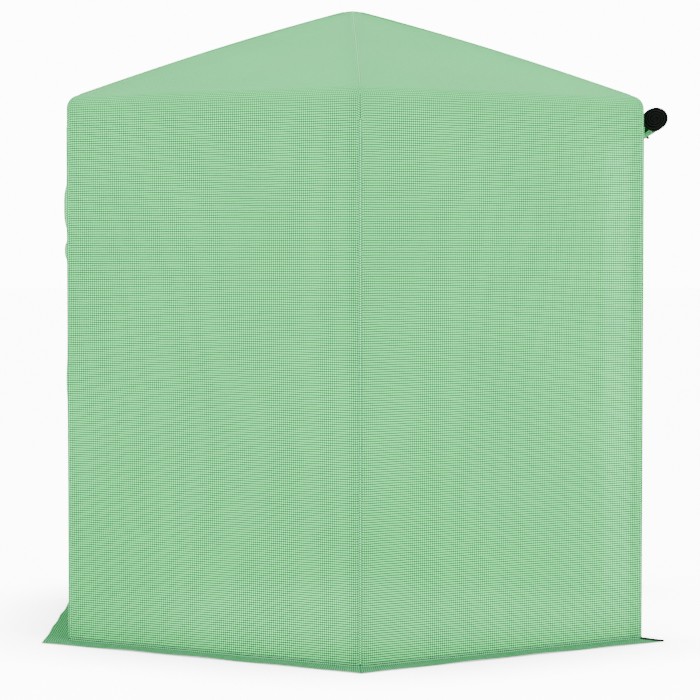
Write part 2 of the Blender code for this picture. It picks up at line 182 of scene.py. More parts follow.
@dataclass(frozen=True)
class Envelope:
    """Driving sizes of the cover, in metres, read from the frame."""

    apothem: float
    eave: float
    apex: float
    skirt: float
    door_half: float
    door_top: float
    eave_radius: float = 0.040
    apex_radius: float = 0.016
    arch: float = 0.009
    hem: float = 0.006

    @classmethod
    def from_frame(cls) -> "Envelope":
        """Read the cover's sizes from the CAD nodes' boxes."""
        wall_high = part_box("door_frame_right")[1]
        roof_low, roof_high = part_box("roof_right")
        door_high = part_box("door_left")[1]
        skirt_low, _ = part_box("skirt_left")
        eave = roof_low.z + GORE_DROP
        slope = (roof_high.z - eave) / (wall_high.x - roof_low.x)
        return cls(
            apothem=wall_high.x,
            eave=eave,
            apex=eave + slope * wall_high.x,
            skirt=-skirt_low.x - wall_high.x,
            door_half=door_high.y,
            door_top=door_high.z,
        )

    @property
    def half_side(self) -> float:
        """Half the length of a wall."""
        return self.apothem * TAN30

    @property
    def door_share(self) -> float:
        """Share of a side's half-width at which a doorway ends."""
        return self.door_half / self.half_side

    @property
    def cloth_start(self) -> float:
        """Path length at which the walls' cloth starts, just under the hem's top."""
        return self.hem - 0.003

    @property
    def pitch(self) -> float:
        """Slope angle of a roof gore."""
        return math.atan2(self.apex - self.eave, self.apothem)

    @property
    def turn(self) -> float:
        """Angle through which the cloth turns at the eave."""
        return math.pi / 2 - self.pitch

    @property
    def tangent(self) -> float:
        """Distance from the sharp eave line to each end of its rounding."""
        return self.eave_radius * math.tan(self.turn / 2)

    @property
    def wall_end(self) -> float:
        """Path length at which the wall starts to turn."""
        return self.eave - self.tangent

    @property
    def roof_start(self) -> float:
        """Path length at which the rounding ends and the roof starts."""
        return self.wall_end + self.eave_radius * self.turn

    @property
    def roof_end(self) -> float:
        """Path length at the apex."""
        return self.roof_start + self.apothem / math.cos(self.pitch) - self.tangent

    def profile(self, path: Array) -> tuple[Array, Array, Array, Array]:
        """Section of the cover up the middle of a side.

        The wall is upright, the eave is an arc that turns from upright to the roof's slope, and
        the roof is straight apart from a half sine that arches it a little and a hyperbola that
        rounds the apex.

        Args:
            path: lengths along the section from the ground.

        Returns:
            Distance out, height, and the outward and upward parts of the normal.
        """
        bend = np.clip((path - self.wall_end) / self.eave_radius, 0.0, self.turn)
        out = self.apothem - self.eave_radius * (1 - np.cos(bend))
        height = np.minimum(path, self.wall_end) + self.eave_radius * np.sin(bend)
        climb = np.maximum(path - self.roof_start, 0.0)
        out = np.maximum(out - climb * math.cos(self.pitch), 0.0)
        slope = math.tan(self.pitch)
        rounding = slope * (np.hypot(out, self.apex_radius) - out)
        height = height + climb * math.sin(self.pitch) - np.where(climb > 0, rounding, 0.0)
        height = height + self.arch * np.sin(math.pi * climb / (self.roof_end - self.roof_start))
        return out, height, np.cos(bend), np.sin(bend)


@dataclass(frozen=True)
class Relief:
    """Soft unevenness of the cover: a bow between the legs, ripples, creases and zip puckers."""

    house: Envelope
    bow: float = 0.0070
    ripple: float = 0.0016
    crease: float = 0.0020
    roof_sag: float = 0.0110
    pucker: float = 0.0105

    def height(self, side: Side, share: Array, path: Array) -> Array:
        """Offset of the cloth along its normal.

        The bow is a cosine across the wall times a half sine up it. Ripples are products of
        sines, creases are narrow bells about curved lines, and the roof sags as a parabola.
        Everything fades to nothing at the corners, where neighbouring sides meet.

        Args:
            side: the side of the house.
            share: -1 to 1 across the side.
            path: lengths along the section from the ground.

        Returns:
            Offsets in metres, outward positive.
        """
        held = 1 - np.abs(share) ** 5
        wall = np.clip(path / self.house.wall_end, 0.0, 1.0)
        climb = (path - self.house.roof_start) / (self.house.roof_end - self.house.roof_start)
        climb = np.clip(climb, 0.0, 1.0)
        phase = side.phase
        bow = -self.bow * np.cos(share * math.pi / 2) * np.sin(math.pi * wall)
        wave = np.sin(5.1 * share + phase) * np.sin(9.0 * wall + 2 * phase)
        wave += 0.6 * np.sin(11.3 * share - 4.0 * wall + 3 * phase)
        wave += 0.35 * np.sin(17.0 * share + 14.0 * wall + phase)
        ripple = self.ripple * wave * held * np.sin(math.pi * wall)
        crease = np.zeros_like(path)
        for level, lean, width in ((0.085, 0.030, 0.007), (0.150, -0.045, 0.010), (0.46, 0.02, 0.008)):
            line = level + lean * share + 0.035 * np.cos(2.3 * share + phase)
            crease += np.exp(-(((wall - line) / width) ** 2)) * np.cos(share * 1.3 + phase) ** 2
        crease *= -self.crease * held
        fold = np.exp(-(((np.abs(share) - 0.36) / 0.018) ** 2)) * np.sin(math.pi * wall) ** 0.5
        roof = -self.roof_sag * (1 - share**2) * np.sin(math.pi * climb) ** 0.8
        roof += 0.0012 * np.sin(9 * share + phase) * np.sin(13 * climb) * held
        total = np.where(climb > 0, roof, bow + ripple + crease - 0.0008 * fold * held)
        if side.doorway is not Doorway.NONE:
            total = self._beside_zips(side, share, path, total)
        return total

    def _beside_zips(self, side: Side, share: Array, path: Array, total: Array) -> Array:
        """Flatten the cloth beside a doorway and pucker the closed door's front zip.

        Args:
            side: the side with the doorway.
            share: -1 to 1 across the side.
            path: lengths along the section.
            total: the offsets so far.

        Returns:
            The new offsets.
        """
        edge = self.house.door_share
        near = np.exp(-(((np.abs(share) - edge) / 0.07) ** 2))
        total = total * (1 - near)
        if side.doorway is Doorway.CLOSED:
            low = np.exp(-(((path - 1.118) / 0.026) ** 4))
            high = np.exp(-(((path - 1.243) / 0.062) ** 4))
            puffs = self.pucker * (0.85 * low + high) + 0.006 * np.exp(-(((path - 0.75) / 0.09) ** 2))
            total = total + puffs * near * (share > 0)
            total = total + 0.004 * near * np.exp(-(((path - 0.95) / 0.10) ** 2)) * (share < 0)
        return total


# ---------------------------------------------------------------- meshes


def grid_mesh(name: str, points: Array, metres: Array) -> bpy.types.Mesh:
    """Make a mesh of quads on a grid of points.

    Args:
        name: the mesh's name.
        points: positions, across by up by 3.
        metres: UV positions in metres, across by up by 2.

    Returns:
        The mesh, smooth, with its UV map "cloth".
    """
    across, up = points.shape[:2]
    index = np.arange(across * up).reshape(across, up)
    quads = np.stack([index[:-1, :-1], index[1:, :-1], index[1:, 1:], index[:-1, 1:]], axis=-1)
    faces = quads.reshape(-1, 4)
    mesh = bpy.data.meshes.new(name)
    mesh.from_pydata(points.reshape(-1, 3), [], faces.tolist())
    mesh.polygons.foreach_set("use_smooth", np.ones(len(faces), bool))
    layer = mesh.uv_layers.new(name="cloth")
    corners = metres.reshape(-1, 2)[faces.ravel()]
    layer.data.foreach_set("uv", corners.astype(np.float32).ravel())
    mesh.update()
    return mesh


def weld(mesh: bpy.types.Mesh) -> bpy.types.Mesh:
    """Merge the doubled points of a mesh, such as those at a pole."""
    shell = bmesh.new()
    shell.from_mesh(mesh)
    bmesh.ops.remove_doubles(shell, verts=shell.verts, dist=1e-6)
    shell.to_mesh(mesh)
    shell.free()
    return mesh


def join_meshes(name: str, parts: Sequence[tuple[Array, Array]]) -> bpy.types.Mesh:
    """Join point and face arrays into one mesh.

    Args:
        name: the mesh's name.
        parts: pairs of points (n by 3) and faces (m by 4).

    Returns:
        The mesh, smooth.
    """
    points, faces, start = [], [], 0
    for part_points, part_faces in parts:
        points.append(part_points)
        faces.append(part_faces + start)
        start += len(part_points)
    mesh = bpy.data.meshes.new(name)
    mesh.from_pydata(np.concatenate(points), [], np.concatenate(faces).tolist())
    mesh.polygons.foreach_set("use_smooth", np.ones(len(mesh.polygons), bool))
    mesh.update()
    return mesh


def unit(vectors: Array) -> Array:
    """Vectors scaled to length one."""
    return vectors / np.maximum(np.linalg.norm(vectors, axis=-1, keepdims=True), 1e-12)


def beads(
    centres: Array, ways: Array, ups: Array, length: float, width: float, rise: float
) -> tuple[Array, Array]:
    """Short rounded bars, such as stitches or zip teeth.

    Each bar has three rings of four points: narrow at its ends and full at its middle.

    Args:
        centres: middles of the bars, n by 3.
        ways: unit vectors along each bar.
        ups: unit vectors out of the cloth.
        length: length of a bar.
        width: its width.
        rise: its height.

    Returns:
        Points and quads for join_meshes.
    """
    sides = unit(np.cross(ups, ways))
    rings = []
    for place, swell in ((-0.5, 0.55), (0.0, 1.0), (0.5, 0.55)):
        middle = centres + ways * length * place
        for across, up in ((-1, 0), (0, 1), (1, 0), (0, -1)):
            offset = sides * across * width * swell / 2 + ups * up * rise * swell / 2
            rings.append(middle + offset)
    points = np.stack(rings, axis=1)
    quads = [[0, 3, 2, 1], [8, 9, 10, 11]]
    for ring in (0, 4):
        for i in range(4):
            j = (i + 1) % 4
            quads.append([ring + i, ring + j, ring + 4 + j, ring + 4 + i])
    count = len(centres)
    faces = np.array(quads)[None] + (np.arange(count) * 12)[:, None, None]
    return points.reshape(-1, 3), faces.reshape(-1, 4)


def lengths_along(line: Array) -> Array:
    """Length from a line's start to each of its points."""
    steps = np.linalg.norm(np.diff(line, axis=0), axis=1)
    return np.concatenate([[0.0], np.cumsum(steps)])


def flat_metres(across: Array, up: Array) -> Array:
    """UV positions of a flat strip, in metres, from its steps across and up."""
    return np.stack(np.meshgrid(across, up, indexing="ij"), axis=-1)


def spaced(line: Array, gap: float) -> tuple[Array, Array]:
    """Points at even steps along a line, with the way it runs at each.

    Args:
        line: the line's points, n by 3.
        gap: the step.

    Returns:
        Points and unit vectors.
    """
    length = lengths_along(line)
    wanted = np.arange(gap / 2, length[-1], gap)
    found = np.stack([np.interp(wanted, length, line[:, i]) for i in range(3)], axis=1)
    ahead = np.stack([np.interp(wanted + gap / 4, length, line[:, i]) for i in range(3)], axis=1)
    behind = np.stack([np.interp(wanted - gap / 4, length, line[:, i]) for i in range(3)], axis=1)
    return found, unit(ahead - behind)


@dataclass(frozen=True)
class Bar:
    """Size of one stitch or tooth, in metres, and whether it lies across its line."""

    length: float
    width: float
    rise: float
    crosswise: bool = False


SEAM_STITCH = Bar(0.0042, 0.0009, 0.0008)
SKIRT_STITCH = Bar(0.0048, 0.0012, 0.0010)
ZIP_STITCH = Bar(0.0032, 0.0007, 0.0006)
DOOR_TOOTH = Bar(0.0050, 0.0015, 0.0012, crosswise=True)
JAMB_TOOTH = Bar(0.0034, 0.0015, 0.0013, crosswise=True)
ZIP_STITCH_GAP = 0.0045


def bars_along(line: Array, gap: float, up: Array, bar: Bar) -> tuple[Array, Array]:
    """Bars at even steps along a line.

    Args:
        line: the line's points, n by 3.
        gap: the step.
        up: unit vector out of the cloth.
        bar: the size of a bar.

    Returns:
        Points and quads for join_meshes.
    """
    centres, ways = spaced(line, gap)
    ups = np.broadcast_to(up, centres.shape)
    if bar.crosswise:
        ways = unit(np.cross(ways, ups))
    return beads(centres, ways, ups, bar.length, bar.width, bar.rise)


# ---------------------------------------------------------------- shader graphs


class Graph:
    """A node tree with short calls for the nodes that the finishes use."""

    def __init__(self, tree: bpy.types.NodeTree) -> None:
        """Keep the tree."""
        self.tree = tree

    def node(self, kind: str, **settings: object) -> bpy.types.Node:
        """Add a node and set its properties."""
        made = self.tree.nodes.new(kind)
        for key, value in settings.items():
            setattr(made, key, value)
        return made

    def feed(self, socket: bpy.types.NodeSocket, value: object) -> None:
        """Link a socket to another, or set it to a plain value."""
        if isinstance(value, bpy.types.NodeSocket):
            self.tree.links.new(value, socket)
        else:
            socket.default_value = value

    def math(
        self, operation: str, first: object, second: object = 0.0, third: object = 0.0
    ) -> bpy.types.NodeSocket:
        """A Math node's result."""
        made = self.node("ShaderNodeMath", operation=operation)
        for socket, value in zip(made.inputs, (first, second, third)):
            self.feed(socket, value)
        return made.outputs[0]

    def smooth(self, value: object, low: float, high: float) -> bpy.types.NodeSocket:
        """0 below low and 1 above high, with a smooth step between."""
        made = self.node("ShaderNodeMapRange", interpolation_type="SMOOTHSTEP")
        for name, given in (("Value", value), ("From Min", low), ("From Max", high)):
            self.feed(made.inputs[name], given)
        return made.outputs["Result"]

    def noise(self, vector: object, scale: object, detail: float = 2.0) -> bpy.types.NodeSocket:
        """A noise value from 0 to 1."""
        made = self.node("ShaderNodeTexNoise")
        self.feed(made.inputs["Vector"], vector)
        self.feed(made.inputs["Scale"], scale)
        self.feed(made.inputs["Detail"], detail)
        return made.outputs["Fac"]

    def mix(self, share: object, first: object, second: object) -> bpy.types.NodeSocket:
        """A colour between two colours."""
        made = self.node("ShaderNodeMix", data_type="RGBA")
        self.feed(made.inputs[0], share)
        self.feed(made.inputs[6], first)
        self.feed(made.inputs[7], second)
        return made.outputs[2]

    def bump(self, height: object, distance: float, strength: float = 1.0) -> bpy.types.NodeSocket:
        """A normal from a height."""
        made = self.node("ShaderNodeBump")
        made.inputs["Distance"].default_value = distance
        made.inputs["Strength"].default_value = strength
        self.feed(made.inputs["Height"], height)
        return made.outputs["Normal"]

    def group(self, tree: bpy.types.NodeTree, **values: object) -> bpy.types.Node:
        """Add a group with its inputs set, an underscore standing for a space."""
        made = self.node("ShaderNodeGroup")
        made.node_tree = tree
        for key, value in values.items():
            self.feed(made.inputs[key.replace("_", " ")], value)
        return made

    def object_coordinates(self) -> bpy.types.NodeSocket:
        """The piece's own coordinates, in metres."""
        return self.node("ShaderNodeTexCoord").outputs["Object"]

    def cloth_coordinates(self) -> bpy.types.NodeSocket:
        """The cloth's own UV map, in metres."""
        return self.node("ShaderNodeUVMap", uv_map="cloth").outputs["UV"]


def new_group(
    name: str, inputs: Sequence[tuple[str, str, float]], outputs: Sequence[tuple[str, str]]
) -> tuple[Graph, bpy.types.Node, bpy.types.Node]:
    """Start a shader node group.

    Args:
        name: the group's name.
        inputs: name, kind and default of each input; a vector's default is left alone.
        outputs: name and kind of each output.

    Returns:
        Its graph, its input node and its output node.
    """
    tree = bpy.data.node_groups.new(name, "ShaderNodeTree")
    for label, kind, value in inputs:
        socket = tree.interface.new_socket(label, in_out="INPUT", socket_type=kind)
        if kind == "NodeSocketFloat":
            socket.default_value = value
    for label, kind in outputs:
        tree.interface.new_socket(label, in_out="OUTPUT", socket_type=kind)
    graph = Graph(tree)
    return graph, graph.node("NodeGroupInput"), graph.node("NodeGroupOutput")


class Effects:
    """The shader node groups that several finishes share."""

    def __init__(self) -> None:
        """Build each group once."""
        self.scrim = self._scrim()
        self.crinkle = self._crinkle()
        self.grime = self._grime()
        self.grain = self._grain()

    @staticmethod
    def _scrim() -> bpy.types.NodeTree:
        """Woven scrim inside film: rows and columns of thread at a pitch.

        A thread's mask is how near a coordinate, divided by the pitch and wandering a little, is
        to a whole number.
        """
        graph, given, result = new_group(
            "woven scrim",
            [
                ("Vector", "NodeSocketVector", 0.0),
                ("Pitch", "NodeSocketFloat", 0.0064),
                ("Row Width", "NodeSocketFloat", 0.3),
                ("Column Width", "NodeSocketFloat", 0.2),
            ],
            [("Rows", "NodeSocketFloat"), ("Columns", "NodeSocketFloat"), ("Height", "NodeSocketFloat")],
        )
        parts = graph.node("ShaderNodeSeparateXYZ")
        graph.feed(parts.inputs[0], given.outputs["Vector"])
        masks = []
        for axis, width in ((1, "Row Width"), (0, "Column Width")):
            drift = graph.noise(given.outputs["Vector"], 14.0 + 5 * axis, 1.0)
            drift = graph.math("MULTIPLY", graph.math("SUBTRACT", drift, 0.5), 0.0022)
            place = graph.math(
                "DIVIDE", graph.math("ADD", parts.outputs[axis], drift), given.outputs["Pitch"]
            )
            away = graph.math("ABSOLUTE", graph.math("SUBTRACT", graph.math("FRACT", place), 0.5))
            edge = graph.math("SUBTRACT", away, graph.math("SUBTRACT", 0.5, given.outputs[width]))
            masks.append(graph.smooth(edge, -0.05, 0.12))
        over = graph.math("MAXIMUM", masks[0], graph.math("MULTIPLY", masks[1], 0.7))
        for socket, value in zip(result.inputs, (*masks, over)):
            graph.feed(socket, value)
        return graph.tree

    @staticmethod
    def _crinkle() -> bpy.types.NodeTree:
        """Crinkle of thin film: fine ridges over broad undulation, as a height from 0 to 1."""
        graph, given, result = new_group(
            "film crinkle",
            [("Vector", "NodeSocketVector", 0.0), ("Scale", "NodeSocketFloat", 30.0)],
            [("Height", "NodeSocketFloat"), ("Patches", "NodeSocketFloat")],
        )
        ridges = graph.node("ShaderNodeTexVoronoi", feature="DISTANCE_TO_EDGE")
        graph.feed(ridges.inputs["Vector"], given.outputs["Vector"])
        graph.feed(ridges.inputs["Scale"], given.outputs["Scale"])
        ridge = graph.math("POWER", graph.math("SUBTRACT", 1.0, ridges.outputs["Distance"]), 6.0)
        broad = graph.noise(given.outputs["Vector"], graph.math("MULTIPLY", given.outputs["Scale"], 0.25))
        graph.feed(result.inputs[0], graph.math("ADD", graph.math("MULTIPLY", ridge, 0.35), broad))
        graph.feed(result.inputs[1], graph.noise(given.outputs["Vector"], 2.3, 3.0))
        return graph.tree

    @staticmethod
    def _grime() -> bpy.types.NodeTree:
        """Dust and soil near the ground: a mask that fades with height, broken up by noise."""
        graph, given, result = new_group(
            "ground grime",
            [("Vector", "NodeSocketVector", 0.0), ("Reach", "NodeSocketFloat", 0.12)],
            [("Mask", "NodeSocketFloat")],
        )
        parts = graph.node("ShaderNodeSeparateXYZ")
        graph.feed(parts.inputs[0], given.outputs["Vector"])
        fade = graph.math("SUBTRACT", 1.0, graph.math("DIVIDE", parts.outputs[2], given.outputs["Reach"]))
        fade = graph.math("MAXIMUM", fade, 0.0)
        speck = graph.noise(given.outputs["Vector"], 38.0, 4.0)
        graph.feed(result.inputs[0], graph.math("MULTIPLY", fade, graph.smooth(speck, 0.35, 0.75)))
        return graph.tree

    @staticmethod
    def _grain() -> bpy.types.NodeTree:
        """Fine skin of moulded, coated and rubber parts: a height and a slow patchiness."""
        graph, given, result = new_group(
            "moulded grain",
            [("Vector", "NodeSocketVector", 0.0), ("Scale", "NodeSocketFloat", 900.0)],
            [("Height", "NodeSocketFloat"), ("Patches", "NodeSocketFloat")],
        )
        fine = graph.noise(given.outputs["Vector"], given.outputs["Scale"], 3.0)
        graph.feed(result.inputs[0], fine)
        patchy = graph.noise(
            given.outputs["Vector"], graph.math("DIVIDE", given.outputs["Scale"], 22.0), 3.0
        )
        graph.feed(result.inputs[1], patchy)
        return graph.tree


# ---------------------------------------------------------------- finishes


Colour = tuple[float, float, float]


def opaque(colour: Colour) -> tuple[float, float, float, float]:
    """A colour with alpha 1."""
    return (*colour, 1.0)


def start_material(name: str) -> tuple[bpy.types.Material, Graph, bpy.types.Node, bpy.types.Node]:
    """Start a material that holds a Principled shader and an output.

    Args:
        name: the material's name.

    Returns:
        The material, its graph, the shader and the output.
    """
    material = bpy.data.materials.new(name)
    material.use_nodes = True
    material.node_tree.nodes.clear()
    graph = Graph(material.node_tree)
    shader = graph.node("ShaderNodeBsdfPrincipled")
    output = graph.node("ShaderNodeOutputMaterial")
    graph.feed(output.inputs["Surface"], shader.outputs[0])
    return material, graph, shader, output


@dataclass(frozen=True)
class FilmFinish:
    """Translucent film, with or without a woven scrim."""

    name: str
    film: Colour
    thread: Colour
    pitch: float = 0.0064
    row_width: float = 0.232
    column_width: float = 0.205
    row_strength: float = 1.0
    column_strength: float = 0.95
    roof_strength: float = 0.40
    # how far the roof is darkened: painted shade
    roof_painted_shade: float = 0.10
    gloss: float = 0.06
    clear: float = 0.025
    glow: float = 0.45
    roughness: float = 0.50

    def build(self, effects: Effects) -> bpy.types.Material:
        """Make the material: film that scatters light through itself and shows a little behind it, with
        painted shade that darkens it on the roof.
        """
        material, graph, shader, output = start_material(self.name)
        cloth = graph.cloth_coordinates()
        scrim = graph.group(
            effects.scrim,
            Vector=cloth,
            Pitch=self.pitch,
            Row_Width=self.row_width,
            Column_Width=self.column_width,
        )
        crinkle = graph.group(effects.crinkle, Vector=cloth, Scale=26.0)
        rows = graph.math("MULTIPLY", scrim.outputs["Rows"], self.row_strength)
        columns = graph.math("MULTIPLY", scrim.outputs["Columns"], self.column_strength)
        gaps = graph.math(
            "MULTIPLY", graph.math("SUBTRACT", 1.0, rows), graph.math("SUBTRACT", 1.0, columns)
        )
        parts = graph.node("ShaderNodeSeparateXYZ")
        graph.feed(parts.inputs[0], cloth)
        upper = graph.smooth(parts.outputs[1], 1.46, 1.58)
        faded = graph.math("MULTIPLY_ADD", upper, self.roof_strength - 1.0, 1.0)
        middle = graph.math("SUBTRACT", graph.math("SUBTRACT", 1.0, gaps), 0.5)
        # painted shade: on the roof the mask leans towards the thread's colour, so the roof reads darker
        # than the walls
        level = graph.math("MULTIPLY_ADD", upper, self.roof_painted_shade, 0.5)
        mask = graph.math("MULTIPLY_ADD", middle, faded, level)
        patches = graph.smooth(crinkle.outputs["Patches"], 0.30, 0.70)
        film = graph.mix(patches, opaque(self.film), opaque(tuple(0.93 * c for c in self.film)))
        colour = graph.mix(mask, film, opaque(self.thread))
        height = graph.math(
            "ADD", scrim.outputs["Height"], graph.math("MULTIPLY", crinkle.outputs["Height"], 1.6)
        )
        normal = graph.bump(height, 0.0005, 0.55)
        graph.feed(shader.inputs["Base Color"], colour)
        graph.feed(shader.inputs["Normal"], normal)
        shader.inputs["Roughness"].default_value = self.roughness
        shader.inputs["Specular IOR Level"].default_value = self.gloss
        through = graph.node("ShaderNodeBsdfTranslucent")
        graph.feed(through.inputs["Color"], colour)
        graph.feed(through.inputs["Normal"], normal)
        body = graph.node("ShaderNodeMixShader")
        body.inputs[0].default_value = self.glow
        graph.feed(body.inputs[1], shader.outputs[0])
        graph.feed(body.inputs[2], through.outputs[0])
        window = graph.node("ShaderNodeBsdfTransparent")
        window.inputs["Color"].default_value = opaque(tuple(c**0.4 for c in self.film))
        surface = graph.node("ShaderNodeMixShader")
        graph.feed(surface.inputs[0], graph.math("MULTIPLY", graph.math("SUBTRACT", 1.0, mask), self.clear))
        graph.feed(surface.inputs[1], body.outputs[0])
        graph.feed(surface.inputs[2], window.outputs[0])
        graph.feed(output.inputs["Surface"], surface.outputs[0])
        return material


@dataclass(frozen=True)
class HemFinish:
    """Opaque doubled film or webbing, with a fine weave and ground dust."""

    name: str
    colour: Colour
    dust: Colour
    pitch: float = 0.0016
    dust_share: float = 0.35
    roughness: float = 0.55
    gloss: float = 0.15

    def build(self, effects: Effects) -> bpy.types.Material:
        """Make the material on the cloth's UV map, with dust by height."""
        material, graph, shader, _ = start_material(self.name)
        cloth = graph.cloth_coordinates()
        weave = graph.group(
            effects.scrim, Vector=cloth, Pitch=self.pitch, Row_Width=0.25, Column_Width=0.25
        )
        crinkle = graph.group(effects.crinkle, Vector=cloth, Scale=45.0)
        grime = graph.group(effects.grime, Vector=graph.object_coordinates(), Reach=0.10)
        shade = tuple(0.84 * c for c in self.colour)
        colour = graph.mix(
            graph.smooth(crinkle.outputs["Patches"], 0.3, 0.7), opaque(self.colour), opaque(shade)
        )
        colour = graph.mix(graph.math("MULTIPLY", weave.outputs["Height"], 0.25), colour, opaque(shade))
        dusty = graph.math("MULTIPLY", grime.outputs["Mask"], self.dust_share)
        graph.feed(shader.inputs["Base Color"], graph.mix(dusty, colour, opaque(self.dust)))
        height = graph.math(
            "ADD", weave.outputs["Height"], graph.math("MULTIPLY", crinkle.outputs["Height"], 2.0)
        )
        graph.feed(shader.inputs["Normal"], graph.bump(height, 0.0004, 0.6))
        shader.inputs["Roughness"].default_value = self.roughness
        shader.inputs["Specular IOR Level"].default_value = self.gloss
        return material


@dataclass(frozen=True)
class SkinFinish:
    """Coated steel, moulded nylon, rubber, enamelled zinc or thread: a grained skin with wear."""

    name: str
    colour: Colour
    worn: Colour
    roughness: float
    metallic: float = 0.0
    grain: float = 900.0
    grain_depth: float = 0.00012
    wear: float = 0.35
    gloss: float = 0.5
    dust: Colour = (0.32, 0.29, 0.24)
    dust_reach: float = 0.16

    def build(self, effects: Effects) -> bpy.types.Material:
        """Make the material on the piece's own coordinates."""
        material, graph, shader, _ = start_material(self.name)
        place = graph.object_coordinates()
        grain = graph.group(effects.grain, Vector=place, Scale=self.grain)
        grime = graph.group(effects.grime, Vector=place, Reach=self.dust_reach)
        rubbed = graph.math("MULTIPLY", graph.smooth(grain.outputs["Patches"], 0.52, 0.78), self.wear)
        colour = graph.mix(rubbed, opaque(self.colour), opaque(self.worn))
        dusty = graph.math("MULTIPLY", grime.outputs["Mask"], 0.6)
        graph.feed(shader.inputs["Base Color"], graph.mix(dusty, colour, opaque(self.dust)))
        low, high = self.roughness - 0.08, min(self.roughness + 0.14, 1.0)
        spread = graph.math("MULTIPLY_ADD", grain.outputs["Patches"], high - low, low)
        graph.feed(shader.inputs["Roughness"], spread)
        shader.inputs["Metallic"].default_value = self.metallic
        shader.inputs["Specular IOR Level"].default_value = self.gloss
        graph.feed(shader.inputs["Normal"], graph.bump(grain.outputs["Height"], self.grain_depth, 0.7))
        return material


class Wardrobe:
    """Every finish of the greenhouse, built once."""

    def __init__(self) -> None:
        """Build the shared effects and the materials."""
        effects = Effects()
        dust = (0.36, 0.36, 0.28)
        film, thread = (0.135, 0.90, 0.265), (0.004, 0.050, 0.019)
        finishes = {
            "cover": FilmFinish("gridded film", film, thread),
            "seam": FilmFinish(
                "seam of gridded film",
                film,
                thread,
                column_strength=1.0,
                column_width=0.24,
                clear=0.01,
                glow=0.3,
            ),
            # painted shade: the skirt is the cover's own cloth, with its film darkened as if it lay in
            # shadow
            "skirt": FilmFinish(
                "skirt of gridded film in painted shade", (0.075, 0.34, 0.13), thread, gloss=0.0, clear=0.0, glow=0.1
            ),
            # painted shade: the rolled door is the cover's own cloth, with its film darkened to stand for
            # the shade under the header
            "rolled": FilmFinish(
                "rolled gridded film in painted shade",
                (0.12, 0.42, 0.17),
                (0.015, 0.08, 0.035),
                gloss=0.0,
                clear=0.0,
                glow=0.1,
            ),
            "hem": HemFinish("doubled hem film", (0.055, 0.25, 0.095), dust, dust_share=0.12, gloss=0.0),
            "tape": HemFinish(
                "black zip tape", (0.0022, 0.0036, 0.0026), dust, 0.0012, 0.03, 0.85, gloss=0.06
            ),
            "thread": SkinFinish(
                "pale sewing thread", (0.20, 0.72, 0.30), (0.28, 0.80, 0.38), 0.7, grain=2500.0
            ),
            "dark_thread": SkinFinish(
                "dark sewing thread", (0.01, 0.12, 0.04), (0.03, 0.18, 0.07), 0.7, grain=2500.0
            ),
            "coil": SkinFinish(
                "nylon zip coil", (0.008, 0.009, 0.0085), (0.03, 0.03, 0.03), 0.4, grain=1500.0
            ),
            "tube": SkinFinish(
                "powder-coated tube", (0.30, 0.31, 0.31), (0.18, 0.185, 0.185), 0.40, 0.45, 1400.0, 0.00010
            ),
            "fitting": SkinFinish(
                "moulded nylon", (0.010, 0.0105, 0.011), (0.04, 0.04, 0.04), 0.46, gloss=0.2
            ),
            "rubber": SkinFinish(
                "boot rubber", (0.009, 0.009, 0.0095), (0.04, 0.04, 0.038), 0.74, grain=600.0
            ),
            "zip": SkinFinish(
                "enamelled zinc", (0.012, 0.012, 0.013), (0.22, 0.22, 0.23), 0.34, 0.55, 1100.0
            ),
        }
        self.materials = {key: finish.build(effects) for key, finish in finishes.items()}

    def __getitem__(self, key: str) -> bpy.types.Material:
        """The material of that name."""
        return self.materials[key]


# ---------------------------------------------------------------- placing pieces


